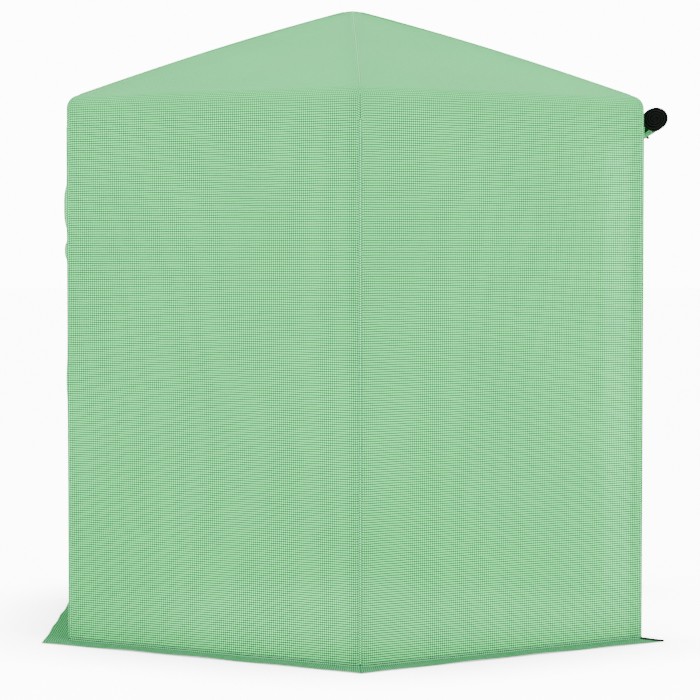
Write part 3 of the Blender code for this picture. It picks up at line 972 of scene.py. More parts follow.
@dataclass
class Workshop:
    """What every sub-assembly needs: sizes, relief, finishes, and a way to add a piece."""

    house: Envelope
    relief: Relief
    wardrobe: Wardrobe
    folded: float = 0.1135
    made: list[str] = field(default_factory=list)

    def points(
        self, side: Side, share: Array, path: Array, lift: float = 0.0, inset: float = 0.0
    ) -> Array:
        """Points of the cover beside one side.

        A point is as far out as the profile says, moved along the profile's normal by the relief
        and the lift, and as far along the wall as its share of the half-width there, less an inset
        from the corner.

        Args:
            side: the side.
            share: -1 to 1 across it, broadcast with path.
            path: lengths along the section.
            lift: distance above the cloth.
            inset: distance from the corner, towards the middle.

        Returns:
            Points, in the shape of share and path by 3.
        """
        share, path = np.broadcast_arrays(share, path)
        out, height, normal_out, normal_up = self.house.profile(path)
        rise = self.relief.height(side, share, path) + lift
        out = out + rise * normal_out
        height = height + rise * normal_up
        along = share * out * TAN30 - np.sign(share) * inset
        return self.place(side, out, along, height)

    @staticmethod
    def place(side: Side, out: Array, along: Array, height: Array) -> Array:
        """Points from distances out and along a side, and heights."""
        flat = out[..., None] * side.outward + along[..., None] * side.along
        flat[..., 2] = height
        return flat

    def metres(self, share: Array, path: Array) -> Array:
        """UV positions of the cloth: along the wall and up the section, in metres."""
        share, path = np.broadcast_arrays(share, path)
        out = self.house.profile(path)[0]
        along = share * np.maximum(out, 0.0) * TAN30
        seam = np.exp(-(((np.abs(share) * out * TAN30 - out * TAN30) / 0.007) ** 2))
        bend = 0.006 * seam * np.clip((path - 0.75) / 0.6, -1.0, 1.0)
        return np.stack([along, path + bend], axis=-1)

    def add(
        self,
        name: str,
        mesh: bpy.types.Mesh,
        finish: str,
        body: str,
        stands_for: Sequence[str] = (),
        slot: Optional[str] = None,
    ) -> bpy.types.Object:
        """Add a finished mesh as a piece that rides a body.

        Args:
            name: the piece's name.
            mesh: its mesh, in place.
            finish: its finish in the wardrobe.
            body: the body that it rides.
            stands_for: the CAD nodes that it replaces.
            slot: not used.

        Returns:
            The object.
        """
        mesh.materials.append(self.wardrobe[finish])
        piece = bpy.data.objects.new(name, mesh)
        bpy.context.scene.collection.objects.link(piece)
        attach(piece, body)
        if stands_for:
            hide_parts(*stands_for)
        self.made.append(name)
        LOG.info("%s rides %s, %d faces", name, body, len(mesh.polygons))
        return piece

    def gather(self, piece: bpy.types.Object, here: HalfSide) -> None:
        """Give a piece its own copy of its mesh."""
        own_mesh(piece)


def halves(side: Side) -> list[HalfSide]:
    """The two halves of a side."""
    return [HalfSide(side, half) for half in Half]


def shares(half: Half, marks: Sequence[float]) -> Array:
    """Steps across a half, finer near its corner, with a step on each mark.

    Args:
        half: the half of the side.
        marks: shares from 0 to 1 that need a line of points.

    Returns:
        Shares in rising order, from 0 at the middle to 1 at the corner, with the half's sign.
    """
    even = np.linspace(0.0, 0.96, 33)
    fine = np.linspace(0.965, 1.0, 8)
    steps = np.unique(np.round(np.concatenate([even, fine, marks]), 6))
    close = np.diff(steps, append=2.0) > 0.004
    marked = np.isin(np.round(steps, 6), np.round(np.asarray(marks, float), 6)) if len(marks) else close
    steps = steps[close | marked | (steps == 1.0)]
    return np.sort(half.sign * steps)


# ---------------------------------------------------------------- cover


@dataclass
class Walls:
    """The six walls, four plain and two with a doorway."""

    shop: Workshop
    rows: int = 118

    def build(self) -> None:
        """Make each wall as two sheets that meet at its middle."""
        for side in SIDES:
            for here in halves(side):
                self._half(here)

    def _half(self, here: HalfSide) -> None:
        """One half of a wall: a whole sheet, or a jamb and a header round a doorway.

        Args:
            here: the half of the side.
        """
        house = self.shop.house
        edge = house.door_share
        above = np.linspace(house.wall_end, house.roof_start, 11)
        if here.side.doorway is Doorway.NONE:
            path = np.concatenate([np.linspace(house.cloth_start, house.wall_end, self.rows), above[1:]])
            self._sheet(f"wall_{here.ending}", here, shares(here.half, []), path, f"wall_{here.side.name}")
            return
        across = shares(here.half, [edge])
        jamb = across[np.abs(across) > edge - 0.001]
        path = np.linspace(house.cloth_start, house.door_top, self.rows)
        self._sheet(f"jamb_{here.ending}", here, jamb, path, f"door_frame_{here.side.name}")
        path = np.concatenate([np.linspace(house.door_top, house.wall_end, 9), above[1:]])
        self._sheet(f"header_{here.ending}", here, across, path, f"door_frame_{here.side.name}")

    def _sheet(self, name: str, here: HalfSide, across: Array, path: Array, node: str) -> None:
        """A rectangular sheet of the wall.

        Args:
            name: its name.
            here: the half of the side.
            across: its steps across the side.
            path: its steps up the section.
            node: the CAD node that it replaces.
        """
        share, up = np.meshgrid(across, path, indexing="ij")
        mesh = grid_mesh(name, self.shop.points(here.side, share, up), self.shop.metres(share, up))
        piece = self.shop.add(name, mesh, "cover", here.leg, [node], "cover")
        self.shop.gather(piece, here)


@dataclass
class Roof:
    """Six roof gores, each in two halves that ride the ribs under their hips."""

    shop: Workshop
    rows: int = 62
    folded: float = 0.070

    def build(self) -> None:
        """Make each gore as two sheets, each with a mesh of its own."""
        house = self.shop.house
        slope = np.linspace(house.roof_start, house.roof_end - 0.05, self.rows)
        tip = np.linspace(house.roof_end - 0.046, house.roof_end, 12)
        path = np.concatenate([slope, tip])
        for side in SIDES:
            for here in halves(side):
                share, up = np.meshgrid(shares(here.half, []), path, indexing="ij")
                points = self.shop.points(side, share, up)
                name, rib = f"roof_{here.ending}", f"rib_{here.corner.word}"
                mesh = weld(grid_mesh(name, points, self.shop.metres(share, up)))
                piece = self.shop.add(name, mesh, "cover", rib, [f"roof_{side.name}"], "cover")
                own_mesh(piece)


@dataclass
class Seams:
    """Felled seams over the corners and hips, with their stitches."""

    shop: Workshop
    width: float = 0.0064
    lift: float = 0.0011
    wall_top: float = 1.470
    stitch_gap: float = 0.0062

    def build(self) -> None:
        """Make a corner seam and a hip seam at each corner."""
        house = self.shop.house
        for number, side in enumerate(SIDES):
            before = SIDES[number - 1]
            word = side.first.word
            walls = np.linspace(house.hem + 0.003, self.wall_top, 150)
            hips = np.linspace(house.roof_start + 0.01, house.roof_end - 0.03, 90)
            for kind, path, body in (("corner", walls, f"leg_{word}"), ("hip", hips, f"rib_{word}")):
                self._seam(f"{kind}_seam_{word}", before, side, path, body)

    def _seam(self, name: str, before: Side, after: Side, path: Array, body: str) -> None:
        """A strip that wraps a corner, and a row of stitches on each side of it.

        Args:
            name: the seam's name.
            before: the side before the corner.
            after: the side after it.
            path: lengths along the section.
            body: the body that the seam rides.
        """
        reach = np.array([1.0, 0.72, 0.4, 0.12]) * self.width
        lifts = np.array([0.15, 0.9, 1.0, 1.0]) * self.lift
        left = [
            self.shop.points(before, np.ones_like(path), path, up, away) for away, up in zip(reach, lifts)
        ]
        right = [
            self.shop.points(after, -np.ones_like(path), path, up, away) for away, up in zip(reach, lifts)
        ]
        columns = np.stack(left + right[::-1])
        away = np.concatenate([-reach, reach[::-1]])
        lean = 0.9 * np.clip((path - 0.75) / 0.5, -1.0, 1.0)
        rise = path[None] + (self.width - np.abs(away))[:, None] * lean[None]
        metres = np.stack([np.broadcast_to(away[:, None] + self.width / 2, rise.shape), rise], axis=-1)
        self.shop.add(name, grid_mesh(name, columns, metres), "seam", body, slot="cover")
        parts = []
        for side, sign in ((before, 1.0), (after, -1.0)):
            line = self.shop.points(
                side, np.full_like(path, sign), path, self.lift * 1.15, self.width * 0.52
            )
            up = side.outward
            if "hip" in name:
                pitch = self.shop.house.pitch
                up = side.outward * math.sin(pitch) + math.cos(pitch) * np.array([0.0, 0.0, 1.0])
            parts.append(bars_along(line, self.stitch_gap, up, SEAM_STITCH))
        stitches = name.replace("_seam_", "_stitches_")
        self.shop.add(stitches, join_meshes(stitches, parts), "dark_thread", body, slot="hem")


@dataclass
class Skirts:
    """Ground skirts round five sides, their stitches and the bindings of their open ends."""

    shop: Workshop
    turn: float = 0.006
    overlap: float = 0.004
    lift: float = 0.0014
    wave: float = 0.0030
    open_mitre: float = 0.53
    stitch_gap: float = 0.0070

    def build(self) -> None:
        """Make a skirt on every side but the open doorway."""
        for side in SIDES:
            if side.doorway is Doorway.OPEN:
                continue
            for here in halves(side):
                self._half(here)
        for here in (HalfSide(SIDES[0], Half.SECOND), HalfSide(SIDES[2], Half.FIRST)):
            self._binding(here)

    def section(self) -> tuple[Array, Array, Array]:
        """The skirt's section: flat on the ground, an arc up to the wall, and a short overlap.

        Returns:
            Distance out from the wall, height, and path length from the outer edge.
        """
        house = self.shop.house
        flat = np.linspace(house.skirt, self.turn, 16)
        angle = np.linspace(0.0, math.pi / 2, 8)[1:]
        arc_out = self.turn - (self.turn - self.lift) * np.sin(angle)
        arc_up = self.turn * (1 - np.cos(angle))
        rise = np.linspace(self.turn, self.turn + self.overlap, 4)[1:]
        out = np.concatenate([flat, arc_out, np.full_like(rise, self.lift)])
        up = np.concatenate([np.zeros_like(flat), arc_up, rise]) + 0.0012
        step = np.hypot(np.diff(out), np.diff(up))
        return out, up, np.concatenate([[0.0], np.cumsum(step)])

    def _mitre(self, side: Side, share: Array) -> Array:
        """How far a skirt's ends spread with distance out: fully, or less beside the open doorway."""
        beside = (side is SIDES[0]) & (share > 0) | (side is SIDES[2]) & (share < 0)
        return np.where(beside, self.open_mitre, 1.0)

    def _surface(self, side: Side, share: Array, out: Array, up: Array) -> Array:
        """Points of the skirt: its outer part lifts and dips in slow waves away from the corners.

        Args:
            side: the side.
            share: -1 to 1 across it.
            out: distances out from the wall.
            up: heights.

        Returns:
            The points.
        """
        house = self.shop.house
        reach = np.clip(out / house.skirt, 0.0, 1.0)
        held = 1 - 0.75 * np.abs(share) ** 6
        swell = 0.5 + 0.5 * np.sin(9.0 * share + 2 * side.phase) * np.sin(4.0 * share + side.phase)
        edge = 0.0010 * np.sin(13.0 * share + side.phase) * (1 - share**8)
        height = up + self.wave * reach**2 * swell * held
        distance = house.apothem + out - edge * reach**3 - 0.0035 * reach * (1 - share**4)
        spread = house.apothem + (distance - house.apothem) * self._mitre(side, share)
        return self.shop.place(side, distance, share * spread * TAN30, height)

    def _half(self, here: HalfSide) -> None:
        """One half of a skirt and its stitches.

        Args:
            here: the half of the side.
        """
        house = self.shop.house
        out, up, length = self.section()
        across = here.sign * np.linspace(0.0, 1.0, 48)
        across = np.sort(across)
        share, outs = np.meshgrid(across, out, indexing="ij")
        ups = np.broadcast_to(up, outs.shape)
        points = self._surface(here.side, share, outs, ups)
        metres = np.stack([share * house.half_side, np.broadcast_to(length, outs.shape)], axis=-1)
        name = f"skirt_{here.ending}"
        body = here.leg
        piece = self.shop.add(
            name, grid_mesh(name, points, metres), "skirt", body, [f"skirt_{here.side.name}"], "hem"
        )
        self.shop.gather(piece, here)
        line_share = across * 0.985
        line = self._surface(
            here.side,
            line_share,
            np.full_like(line_share, self.lift + 0.0007),
            np.full_like(line_share, 0.0088),
        )
        stitches = f"skirt_stitches_{here.ending}"
        bars = bars_along(line, self.stitch_gap, here.side.outward, SKIRT_STITCH)
        thread = self.shop.add(stitches, join_meshes(stitches, [bars]), "thread", body, slot="hem")
        self.shop.gather(thread, here)

    def _binding(self, here: HalfSide) -> None:
        """Black tape folded over a mitred end that has no neighbour.

        Args:
            here: the half of the side.
        """
        house = self.shop.house
        out = np.linspace(0.004, house.skirt, 20)
        share = np.full_like(out, here.sign)
        base = self._surface(here.side, share, out, np.full_like(out, 0.0012))
        inward = -here.sign * here.side.along
        angle = np.linspace(-0.5, 0.5, 7) * math.pi
        rings = []
        for turn in angle:
            rise = 0.0021 + 0.0030 * math.sin(turn)
            rings.append(base + inward * (0.0040 - 0.0056 * math.cos(turn)) + np.array([0, 0, rise]))
        top = base + inward * 0.0105 + np.array([0, 0, 0.0020])
        points = np.stack(rings + [top])
        if here.half is Half.SECOND:
            points = points[::-1]
        metres = flat_metres(np.linspace(0, 0.018, len(points)), out)
        name = f"skirt_binding_{here.corner.word}"
        self.shop.add(name, grid_mesh(name, points, metres), "tape", here.leg, slot="zip")


# ---------------------------------------------------------------- doors


@dataclass
class ClosedDoor:
    """The door on the left: a panel in two sheets, two zips on their tapes, and storm ties."""

    shop: Workshop
    tape_half: float = 0.0090
    tape_lift: float = 0.0012
    tooth_gap: float = 0.0021
    header_stitch_gap: float = 0.006
    tape_stitch_shift: float = 0.0066

    def build(self) -> None:
        """Make the panel, its zips, the seam along its top and its hanging ties."""
        side = next(s for s in SIDES if s.doorway is Doorway.CLOSED)
        for here in halves(side):
            self._panel(here)
            self._zip(here)
            self._header_seam(here)
            self._tie(here)

    def _panel(self, here: HalfSide) -> None:
        """Half of the door panel, between its middle and its zip.

        Args:
            here: the half of the side.
        """
        house = self.shop.house
        edge = house.door_share
        across = np.sort(here.sign * np.linspace(0.0, edge - 0.001, 34))
        path = np.linspace(house.cloth_start, house.door_top - 0.0006, 110)
        share, up = np.meshgrid(across, path, indexing="ij")
        mesh = grid_mesh(
            f"door_{here.ending}", self.shop.points(here.side, share, up), self.shop.metres(share, up)
        )
        piece = self.shop.add(f"door_{here.ending}", mesh, "cover", here.leg, ["door_left"], "cover")
        self.shop.gather(piece, here)

    def _strip(self, side: Side, share: float, path: Array) -> Array:
        """Points of the zip tape: a flat strip that runs up the cloth, with its two edges down on it.

        Args:
            side: the side.
            share: the strip's middle across the side.
            path: lengths along the section.

        Returns:
            Points, across by up by 3.
        """
        columns = []
        for place in (-1.0, -0.96, -0.5, -0.2, 0.0, 0.2, 0.5, 0.96, 1.0):
            rise = 0.0001 if abs(place) == 1.0 else self.tape_lift
            at = share + place * self.tape_half / self.shop.house.half_side
            columns.append(self.shop.points(side, np.full_like(path, at), path, rise))
        return np.stack(columns)

    def _zip(self, here: HalfSide) -> None:
        """A black tape with its coil of teeth and two rows of stitches.

        Args:
            here: the half of the side.
        """
        house = self.shop.house
        share = here.sign * house.door_share
        path = np.linspace(house.hem + 0.002, house.door_top, 160)
        points = self._strip(here.side, share, path)
        width = np.linspace(-self.tape_half, self.tape_half, len(points))
        metres = flat_metres(width, path)
        body = here.leg
        name = f"zip_tape_{here.end}"
        self.shop.add(name, grid_mesh(name, points, metres), "tape", body, slot="zip")
        line = self.shop.points(here.side, np.full_like(path, share), path, self.tape_lift + 0.0004)
        teeth = bars_along(line, self.tooth_gap, here.side.outward, DOOR_TOOTH)
        coil = f"zip_coil_{here.end}"
        self.shop.add(coil, join_meshes(coil, [teeth]), "coil", body, slot="zip")
        rows = []
        for shift in (-self.tape_stitch_shift, self.tape_stitch_shift):
            at = share + shift / house.half_side
            line = self.shop.points(here.side, np.full_like(path, at), path, self.tape_lift + 0.0003)
            rows.append(bars_along(line, ZIP_STITCH_GAP, here.side.outward, ZIP_STITCH))
        thread = f"zip_stitches_{here.end}"
        self.shop.add(thread, join_meshes(thread, rows), "thread", body, slot="hem")

    def _header_seam(self, here: HalfSide) -> None:
        """A felled seam along the top of the door.

        Args:
            here: the half of the side.
        """
        house = self.shop.house
        edge = (house.door_half + self.tape_half) / house.half_side
        across = np.sort(here.sign * np.linspace(0.0, edge, 40))
        levels = house.door_top + np.array([-0.0080, -0.0076, 0.0, 0.0076, 0.0080])
        lifts = np.array([0.0001, 0.0014, 0.0015, 0.0014, 0.0001])
        points = np.stack(
            [
                self.shop.points(
                    here.side, across, np.full_like(across, at), up
                ) for at, up in zip(levels, lifts)
            ], axis=1
        )
        share, up = np.meshgrid(across, levels, indexing="ij")
        name = f"door_header_seam_{here.ending}"
        body = here.leg
        piece = self.shop.add(
            name, grid_mesh(name, points, self.shop.metres(share, up)), "hem", body, slot="hem"
        )
        self.shop.gather(piece, here)
        parts = []
        for shift in (-0.0055, 0.0055):
            line = self.shop.points(here.side, across, np.full_like(across, house.door_top + shift), 0.0018)
            parts.append(bars_along(line, self.header_stitch_gap, here.side.outward, SEAM_STITCH))
        name = f"door_header_stitches_{here.ending}"
        thread = self.shop.add(name, join_meshes(name, parts), "thread", body, slot="hem")
        self.shop.gather(thread, here)

    def _tie(self, here: HalfSide) -> None:
        """A hanging tie of hem cloth that will hold the rolled door, sewn above the doorway.

        Args:
            here: the half of the side.
        """
        house = self.shop.house
        share = here.sign * 0.24 / house.half_side
        path = np.linspace(house.door_top + 0.045, house.door_top - 0.135, 40)[::-1]
        drop = np.clip((house.door_top + 0.03 - path) / 0.165, 0.0, 1.0)
        columns = []
        for place in (-1.0, -0.5, 0.0, 0.5, 1.0):
            at = share + (place * TIE_HALF + 0.004 * np.sin(5 * drop)) / house.half_side
            base = self.shop.points(here.side, at, path, 0.0022)
            swing = 0.0045 * drop + 0.0022 * np.sin(9 * drop) * drop
            columns.append(base + swing[:, None] * here.side.outward)
        points = np.stack(columns)
        metres = flat_metres(np.linspace(-TIE_HALF, TIE_HALF, 5), path)
        name = f"door_left_tie_{here.end}"
        piece = self.shop.add(name, grid_mesh(name, points, metres), "hem", here.leg, slot="hem")
        self.shop.gather(piece, here)


@dataclass
class RolledDoor:
    """The door on the right: rolled up under the header, with taped ends, ties and toggles."""

    shop: Workshop
    centre_out: float = 0.860
    centre_up: float = 1.497
    half_length: float = 0.435
    radius: float = 0.0352
    sag: float = 0.0150
    sheet_pitch: float = 0.00270
    core: float = 0.0022
    tape_pitch: float = 0.0074
    tape_depth: float = 0.024
    tie_place: float = 0.24
    tooth_gap: float = 0.0030
    tape_turns: float = 4.15
    tape_thickness: float = 0.0030
    sheet_setback: float = 0.014
    # how far inside the roll's end the painted-shade disc sits
    shade_disc_setback: float = 0.0075

    def build(self) -> None:
        """Make both halves of the roll, its taped ends, its ties and the jambs' zip tapes."""
        low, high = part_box("door_roll_right")
        self.centre_out = (low.x + high.x) / 2
        self.centre_up = (low.z + high.z) / 2
        self.half_length = high.y
        side = next(s for s in SIDES if s.doorway is Doorway.OPEN)
        for here in halves(side):
            self._wrap(here)
            self._spiral_end(here)
            self._tie(here)
            self._jamb(here)

    def _centre_up(self, along: Array) -> Array:
        """Height of the roll's middle: a shallow parabola that hangs between its ends."""
        return self.centre_up - self.sag * (1 - (along / self.half_length) ** 2)

    def _swell(self, along: Array, angle: Array) -> Array:
        """How much the roll's radius varies: pinched at the ties, with slow lumps and an oval end."""
        pinch = -0.0022 * np.exp(-(((np.abs(along) - self.tie_place) / 0.022) ** 2))
        lumps = 0.0009 * np.sin(21.0 * along + 2.0 * angle) + 0.0007 * np.sin(47.0 * along - angle)
        oval = 0.0026 * np.cos(2 * (angle - 0.30))
        return pinch + lumps * (1 - (along / self.half_length) ** 8) + oval

    def _ring(self, along: Array, angle: Array, radius: Array) -> Array:
        """Points round the roll's own line; the angle runs from outward, up and over to the wall."""
        out = self.centre_out + radius * np.cos(angle)
        up = self._centre_up(along) + radius * np.sin(angle)
        return np.stack([out, along, up], axis=-1)

    def _wrap(self, here: HalfSide) -> None:
        """Half of the rolled sheet: it leaves the header, passes under the roll and winds in.

        Its section is a curve from the header to the underside of the roll and then a spiral
        whose radius shrinks by one layer a turn, all the way to the core, so that the whole
        length of the door is there.

        Args:
            here: the half of the side.
        """
        house = self.shop.house
        start = math.radians(-118.0)
        turns = (self.radius - self.core) / self.sheet_pitch
        angle = np.linspace(start, start + math.tau * turns, int(turns * 34))
        along = np.sort(here.sign * np.linspace(0.0, self.half_length - self.sheet_setback, 56))
        lines, angles = np.meshgrid(along, angle, indexing="ij")
        radius = self.radius - self.sheet_pitch * (angles - start) / math.tau
        roll = self._ring(lines, angles, radius * (1 + self._swell(lines, angles) / self.radius))
        blend = np.linspace(0.0, 1.0, 12)[:-1]
        head = np.stack(
            [
                np.full_like(along, house.apothem + 0.0012),
                along,
                np.full_like(along, house.door_top + 0.006),
            ],
            axis=-1,
        )
        lip = np.stack(
            [
                np.full_like(along, house.apothem + 0.0030),
                along,
                np.full_like(along, house.door_top - 0.0075),
            ],
            axis=-1,
        )
        touch = roll[:, 0]
        lead = (
            head[:, None] * ((1 - blend) ** 2)[None, :, None]
            + lip[:, None] * (2 * blend * (1 - blend))[None, :, None]
            + touch[:, None] * (blend**2)[None, :, None]
        )
        points = np.concatenate([lead, roll], axis=1)[:, ::-1]
        length = lengths_along(points[0])
        metres = flat_metres(along, length)
        name = f"door_roll_{here.ending}"
        mesh = grid_mesh(name, points, metres)
        piece = self.shop.add(name, mesh, "rolled", here.leg, ["door_roll_right"], "cover")
        self.shop.gather(piece, here)

    def _spiral_end(self, here: HalfSide) -> None:
        """The roll's end: zip tape wound in a spiral, with a dark disc behind it as painted shade between
        the turns.

        The spiral's radius shrinks evenly with its angle, and its depth runs along the roll.

        Args:
            here: the half of the side.
        """
        start = math.radians(-100.0)
        angle = np.linspace(start, start + math.tau * self.tape_turns, 260)
        depth = np.array([0.0, 0.0007, self.tape_depth * 0.4, self.tape_depth])
        wobble = 0.0016 * np.sin(1.7 * angle) + 0.0010 * np.sin(4.1 * angle)
        outer = self.radius + 0.0010
        along = here.sign * (self.half_length - depth[:, None] - 0.0012 * np.sin(0.9 * angle)[None] ** 2)
        radius = outer - self.tape_pitch * (angle - start) / math.tau
        radius = radius + self._swell(np.full_like(angle, self.half_length), angle) * radius / outer
        radius = radius + wobble * (1 - radius / outer) * 0.6
        radius = np.maximum(np.broadcast_to(radius, along.shape), 0.0012)
        points = self._ring(along, np.broadcast_to(angle, along.shape), radius)
        if here.half is Half.FIRST:
            points = points[::-1]
        length = lengths_along(points[0])
        metres = flat_metres(depth, length)
        name = f"roll_end_tape_{here.end}"
        mesh = grid_mesh(name, points, metres)
        piece = self.shop.add(name, mesh, "tape", here.leg, slot="zip")
        solid = piece.modifiers.new("thickness", "SOLIDIFY")
        solid.thickness = self.tape_thickness
        solid.offset = 0.0
        self.shop.gather(piece, here)
        # painted shade: a black disc just inside the roll's end stands for the deep shade seen between the
        # tape's turns
        ring = np.linspace(0.0, math.tau, 49)
        out = np.array([0.0005, outer * 0.5, outer - 0.002])
        angles, radii = np.meshgrid(ring, out, indexing="ij")
        at = np.full_like(angles, here.sign * (self.half_length - self.shade_disc_setback))
        disc = self._ring(at, angles, radii + self._swell(at, angles) * radii / outer)
        if here.half is Half.SECOND:
            disc = disc[::-1]
        metres = np.stack([radii * np.cos(angles), radii * np.sin(angles)], axis=-1)
        core = f"roll_shade_disc_{here.end}"
        shade_disc_piece = self.shop.add(core, grid_mesh(core, disc, metres), "tape", here.leg, slot="zip")
        self.shop.gather(shade_disc_piece, here)

    def _tie(self, here: HalfSide) -> None:
        """A tie of hem cloth round the roll, sewn to the header, with a small black toggle.

        Args:
            here: the half of the side.
        """
        house = self.shop.house
        middle = here.sign * self.tie_place
        angle = np.linspace(math.radians(176.0), math.radians(-172.0), 60)
        columns = []
        for place in (-1.0, -0.94, 0.0, 0.94, 1.0):
            along = np.full_like(angle, middle + place * TIE_HALF)
            edge = 0.0004 if abs(place) == 1.0 else 0.0016
            band = self._ring(along, angle, self.radius + edge + self._swell(along, angle))
            strap = np.stack(
                [
                    np.full(14, house.apothem + edge),
                    np.full(14, middle + place * TIE_HALF),
                    np.linspace(house.eave - 0.034, self.centre_up + 0.004, 14),
                ],
                axis=-1,
            )
            columns.append(np.concatenate([strap, band]))
        points = np.stack(columns)[:, ::-1]
        length = lengths_along(points[2])
        metres = flat_metres(np.linspace(-TIE_HALF, TIE_HALF, 5), length)
        body = here.leg
        name = f"roll_tie_{here.end}"
        piece = self.shop.add(
            name, grid_mesh(name, points, metres), "hem", body, [f"door_tie_{here.end}"], "hem"
        )
        self.shop.gather(piece, here)
        self._toggle(here, middle)

    def _toggle(self, here: HalfSide, middle: float) -> None:
        """A toggle under the tie: a turned barrel with a waist, lying across the band.

        Args:
            here: the half of the side.
            middle: the tie's place along the roll.
        """
        step = np.linspace(0.0, 1.0, 25)
        radius = 0.0040 * np.sqrt(np.clip(1 - (2 * step - 1) ** 6, 0.0, 1.0)) * (
            1 - 0.35 * np.exp(-(((step - 0.5) / 0.12) ** 2))
        )
        turn = np.linspace(0.0, math.tau, 21)
        turns, radii = np.meshgrid(turn, np.maximum(radius, 0.00002), indexing="ij")
        lengths = np.broadcast_to(0.020 * (step - 0.5), radii.shape)
        up = float(self._centre_up(np.array(middle))) - self.radius - 0.0008
        points = np.stack(
            [
                self.centre_out + 0.008 + radii * np.cos(turns),
                middle + lengths,
                up + radii * np.sin(turns),
            ], axis=-1
        )[::-1]
        metres = np.stack([turns * 0.004, lengths], axis=-1)
        name = f"roll_toggle_{here.end}"
        piece = self.shop.add(name, grid_mesh(name, points, metres), "fitting", here.leg, slot="fitting")
        self.shop.gather(piece, here)

    def _jamb(self, here: HalfSide) -> None:
        """The half of the zip that stays on the jamb: tape, teeth and stitches.

        Args:
            here: the half of the side.
        """
        house = self.shop.house
        edge = house.door_share
        path = np.linspace(0.004, house.door_top + 0.004, 120)
        columns = []
        places = (-0.0030, -0.0028, 0.004, 0.0100, 0.0104)
        for place, lift in zip(places, (-0.0004, 0.0012, 0.0013, 0.0012, 0.0001)):
            at = here.sign * (edge + place / house.half_side)
            columns.append(self.shop.points(here.side, np.full_like(path, at), path, lift))
        points = np.stack(columns if here.half is Half.SECOND else columns[::-1])
        width = np.array(places if here.half is Half.SECOND else places[::-1])
        metres = flat_metres(width, path)
        body = here.leg
        name = f"jamb_tape_{here.end}"
        self.shop.add(name, grid_mesh(name, points, metres), "tape", body, slot="zip")
        at = here.sign * (edge - 0.0024 / house.half_side)
        line = self.shop.points(here.side, np.full_like(path, at), path, 0.0014)
        teeth = bars_along(line, self.tooth_gap, here.side.outward, JAMB_TOOTH)
        name = f"jamb_coil_{here.end}"
        self.shop.add(name, join_meshes(name, [teeth]), "coil", body, slot="zip")
        at = here.sign * (edge + 0.0078 / house.half_side)
        line = self.shop.points(here.side, np.full_like(path, at), path, 0.0017)
        bars = bars_along(line, ZIP_STITCH_GAP, here.side.outward, ZIP_STITCH)
        name = f"jamb_stitches_{here.end}"
        self.shop.add(name, join_meshes(name, [bars]), "thread", body, slot="hem")


# ---------------------------------------------------------------- frame and stage


def dress_frame(wardrobe: Wardrobe) -> None:
    """Give every CAD piece of the frame and zips its finish."""
    kinds = (
        ("hub_", "fitting"),
        ("rib_", "tube"),
        ("elbow_", "fitting"),
        ("leg_", "tube"),
        ("foot_", "rubber"),
        ("zip_", "zip"),
    )
    for name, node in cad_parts.items():
        for start, finish in kinds:
            if name.startswith(start):
                for slot in node.material_slots:
                    slot.material = wardrobe[finish]
                LOG.info("%s is dressed in %s", name, finish)


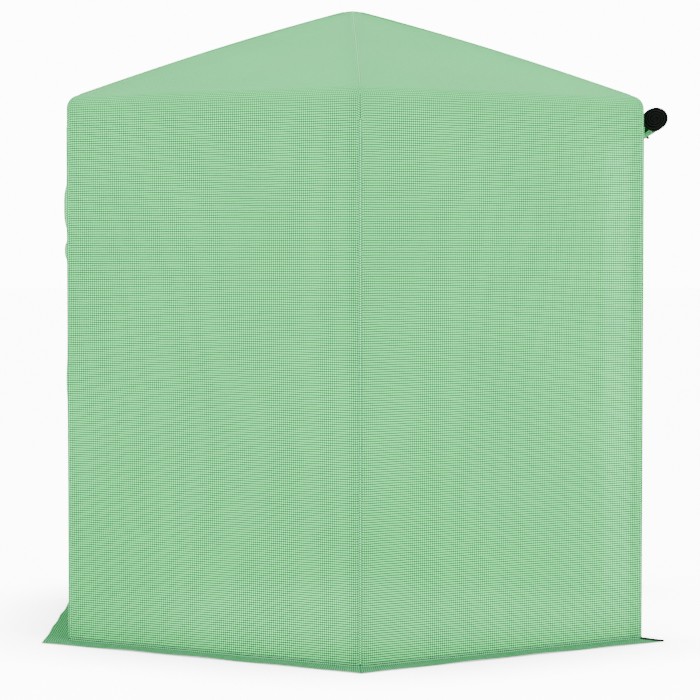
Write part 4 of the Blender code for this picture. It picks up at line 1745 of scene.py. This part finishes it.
@dataclass
class Studio:
    """Pale floor, soft lamps and the camera."""

    distance: float = 7.464
    aside: float = -0.169
    eye: float = 1.129
    tilt: float = 2.415
    heading: float = 1.245
    lens: float = 125.8

    def build(self) -> None:
        """Make the floor, the sky, the lamps and the camera."""
        self._floor()
        self._sky()
        for name, place, size, power in (
            ("key", (-3.6, -5.2, 4.6), 3.5, 410.0),
            ("fill", (3.9, -5.0, 3.8), 3.5, 375.0),
            ("top", (0.0, 0.5, 5.5), 4.0, 80.0),
        ):
            self._lamp(name, place, size, power)
        data = bpy.data.cameras.new("camera")
        data.lens = self.lens
        data.sensor_width = 36.0
        camera = bpy.data.objects.new("camera", data)
        camera.location = (self.aside, -self.distance, self.eye)
        camera.rotation_euler = (math.radians(90 - self.tilt), 0.0, math.radians(-self.heading))
        bpy.context.scene.collection.objects.link(camera)
        bpy.context.scene.camera = camera

    @staticmethod
    def _floor() -> None:
        """A wide pale floor just under the feet, with a faint mottle, that glows a little to the eye, its
        glow dimmed near the house by ambient occlusion as a painted contact shadow.
        """
        reach = np.array([-60.0, 60.0])
        across, along = np.meshgrid(reach, reach, indexing="ij")
        points = np.stack([across, along, np.full_like(across, -0.0006)], axis=-1)
        mesh = grid_mesh("studio_floor", points, points[..., :2])
        material, graph, shader, _ = start_material("pale floor")
        mottle = graph.smooth(graph.noise(graph.object_coordinates(), 0.8, 3.0), 0.2, 0.8)
        tone = graph.mix(mottle, (0.93, 0.93, 0.93, 1.0), (0.95, 0.95, 0.95, 1.0))
        graph.feed(shader.inputs["Base Color"], tone)
        shader.inputs["Roughness"].default_value = 0.9
        shader.inputs["Emission Color"].default_value = (1.0, 1.0, 1.0, 1.0)
        seen = graph.node("ShaderNodeLightPath").outputs["Is Camera Ray"]
        # painted contact shadow: the floor's glow to the eye is dimmed by ambient occlusion near the house
        contact_shadow_ao = graph.node("ShaderNodeAmbientOcclusion", samples=8)
        contact_shadow_ao.inputs["Distance"].default_value = 0.40
        shade = graph.math("MULTIPLY_ADD", graph.math("POWER", contact_shadow_ao.outputs["AO"], 3.0), 0.88, 0.12)
        glow = graph.math("MULTIPLY", shade, 8.0)
        graph.feed(shader.inputs["Emission Strength"], graph.math("MULTIPLY", seen, glow))
        mesh.materials.append(material)
        floor = bpy.data.objects.new("studio_floor", mesh)
        bpy.context.scene.collection.objects.link(floor)

    @staticmethod
    def _sky() -> None:
        """An even pale sky, brighter to the eye than to the house."""
        world = bpy.data.worlds.new("studio")
        world.use_nodes = True
        graph = Graph(world.node_tree)
        background = world.node_tree.nodes["Background"]
        background.inputs["Color"].default_value = (1.0, 1.0, 1.0, 1.0)
        seen = graph.node("ShaderNodeLightPath").outputs["Is Camera Ray"]
        graph.feed(background.inputs["Strength"], graph.math("MULTIPLY_ADD", seen, 9.0, 3.8))
        bpy.context.scene.world = world

    @staticmethod
    def _lamp(name: str, place: tuple[float, float, float], size: float, power: float) -> None:
        """A square soft lamp that faces the middle of the house.

        Args:
            name: the lamp's name.
            place: where it stands.
            size: its side.
            power: its power in watts.
        """
        data = bpy.data.lights.new(name, "AREA")
        data.size = size
        data.energy = power
        lamp = bpy.data.objects.new(name, data)
        lamp.location = place
        toward = np.array([0.0, 0.0, 0.9]) - np.array(place)
        flat = math.hypot(toward[0], toward[1])
        lamp.rotation_euler = (
            math.atan2(flat, -toward[2]), 0.0, math.atan2(toward[1], toward[0]) - math.pi / 2
        )
        bpy.context.scene.collection.objects.link(lamp)


def main() -> None:
    """Build the greenhouse and its studio."""
    logging.basicConfig(level=logging.INFO, format="%(name)s: %(message)s")
    Studio().build()
    wardrobe = Wardrobe()
    house = Envelope.from_frame()
    shop = Workshop(house, Relief(house), wardrobe)
    dress_frame(wardrobe)
    for assembly in (
        Walls(shop), Roof(shop), Seams(shop), Skirts(shop), ClosedDoor(shop), RolledDoor(shop)
    ):
        assembly.build()
    LOG.info("%d pieces made", len(shop.made))


if __name__ == "__main__":
    main()
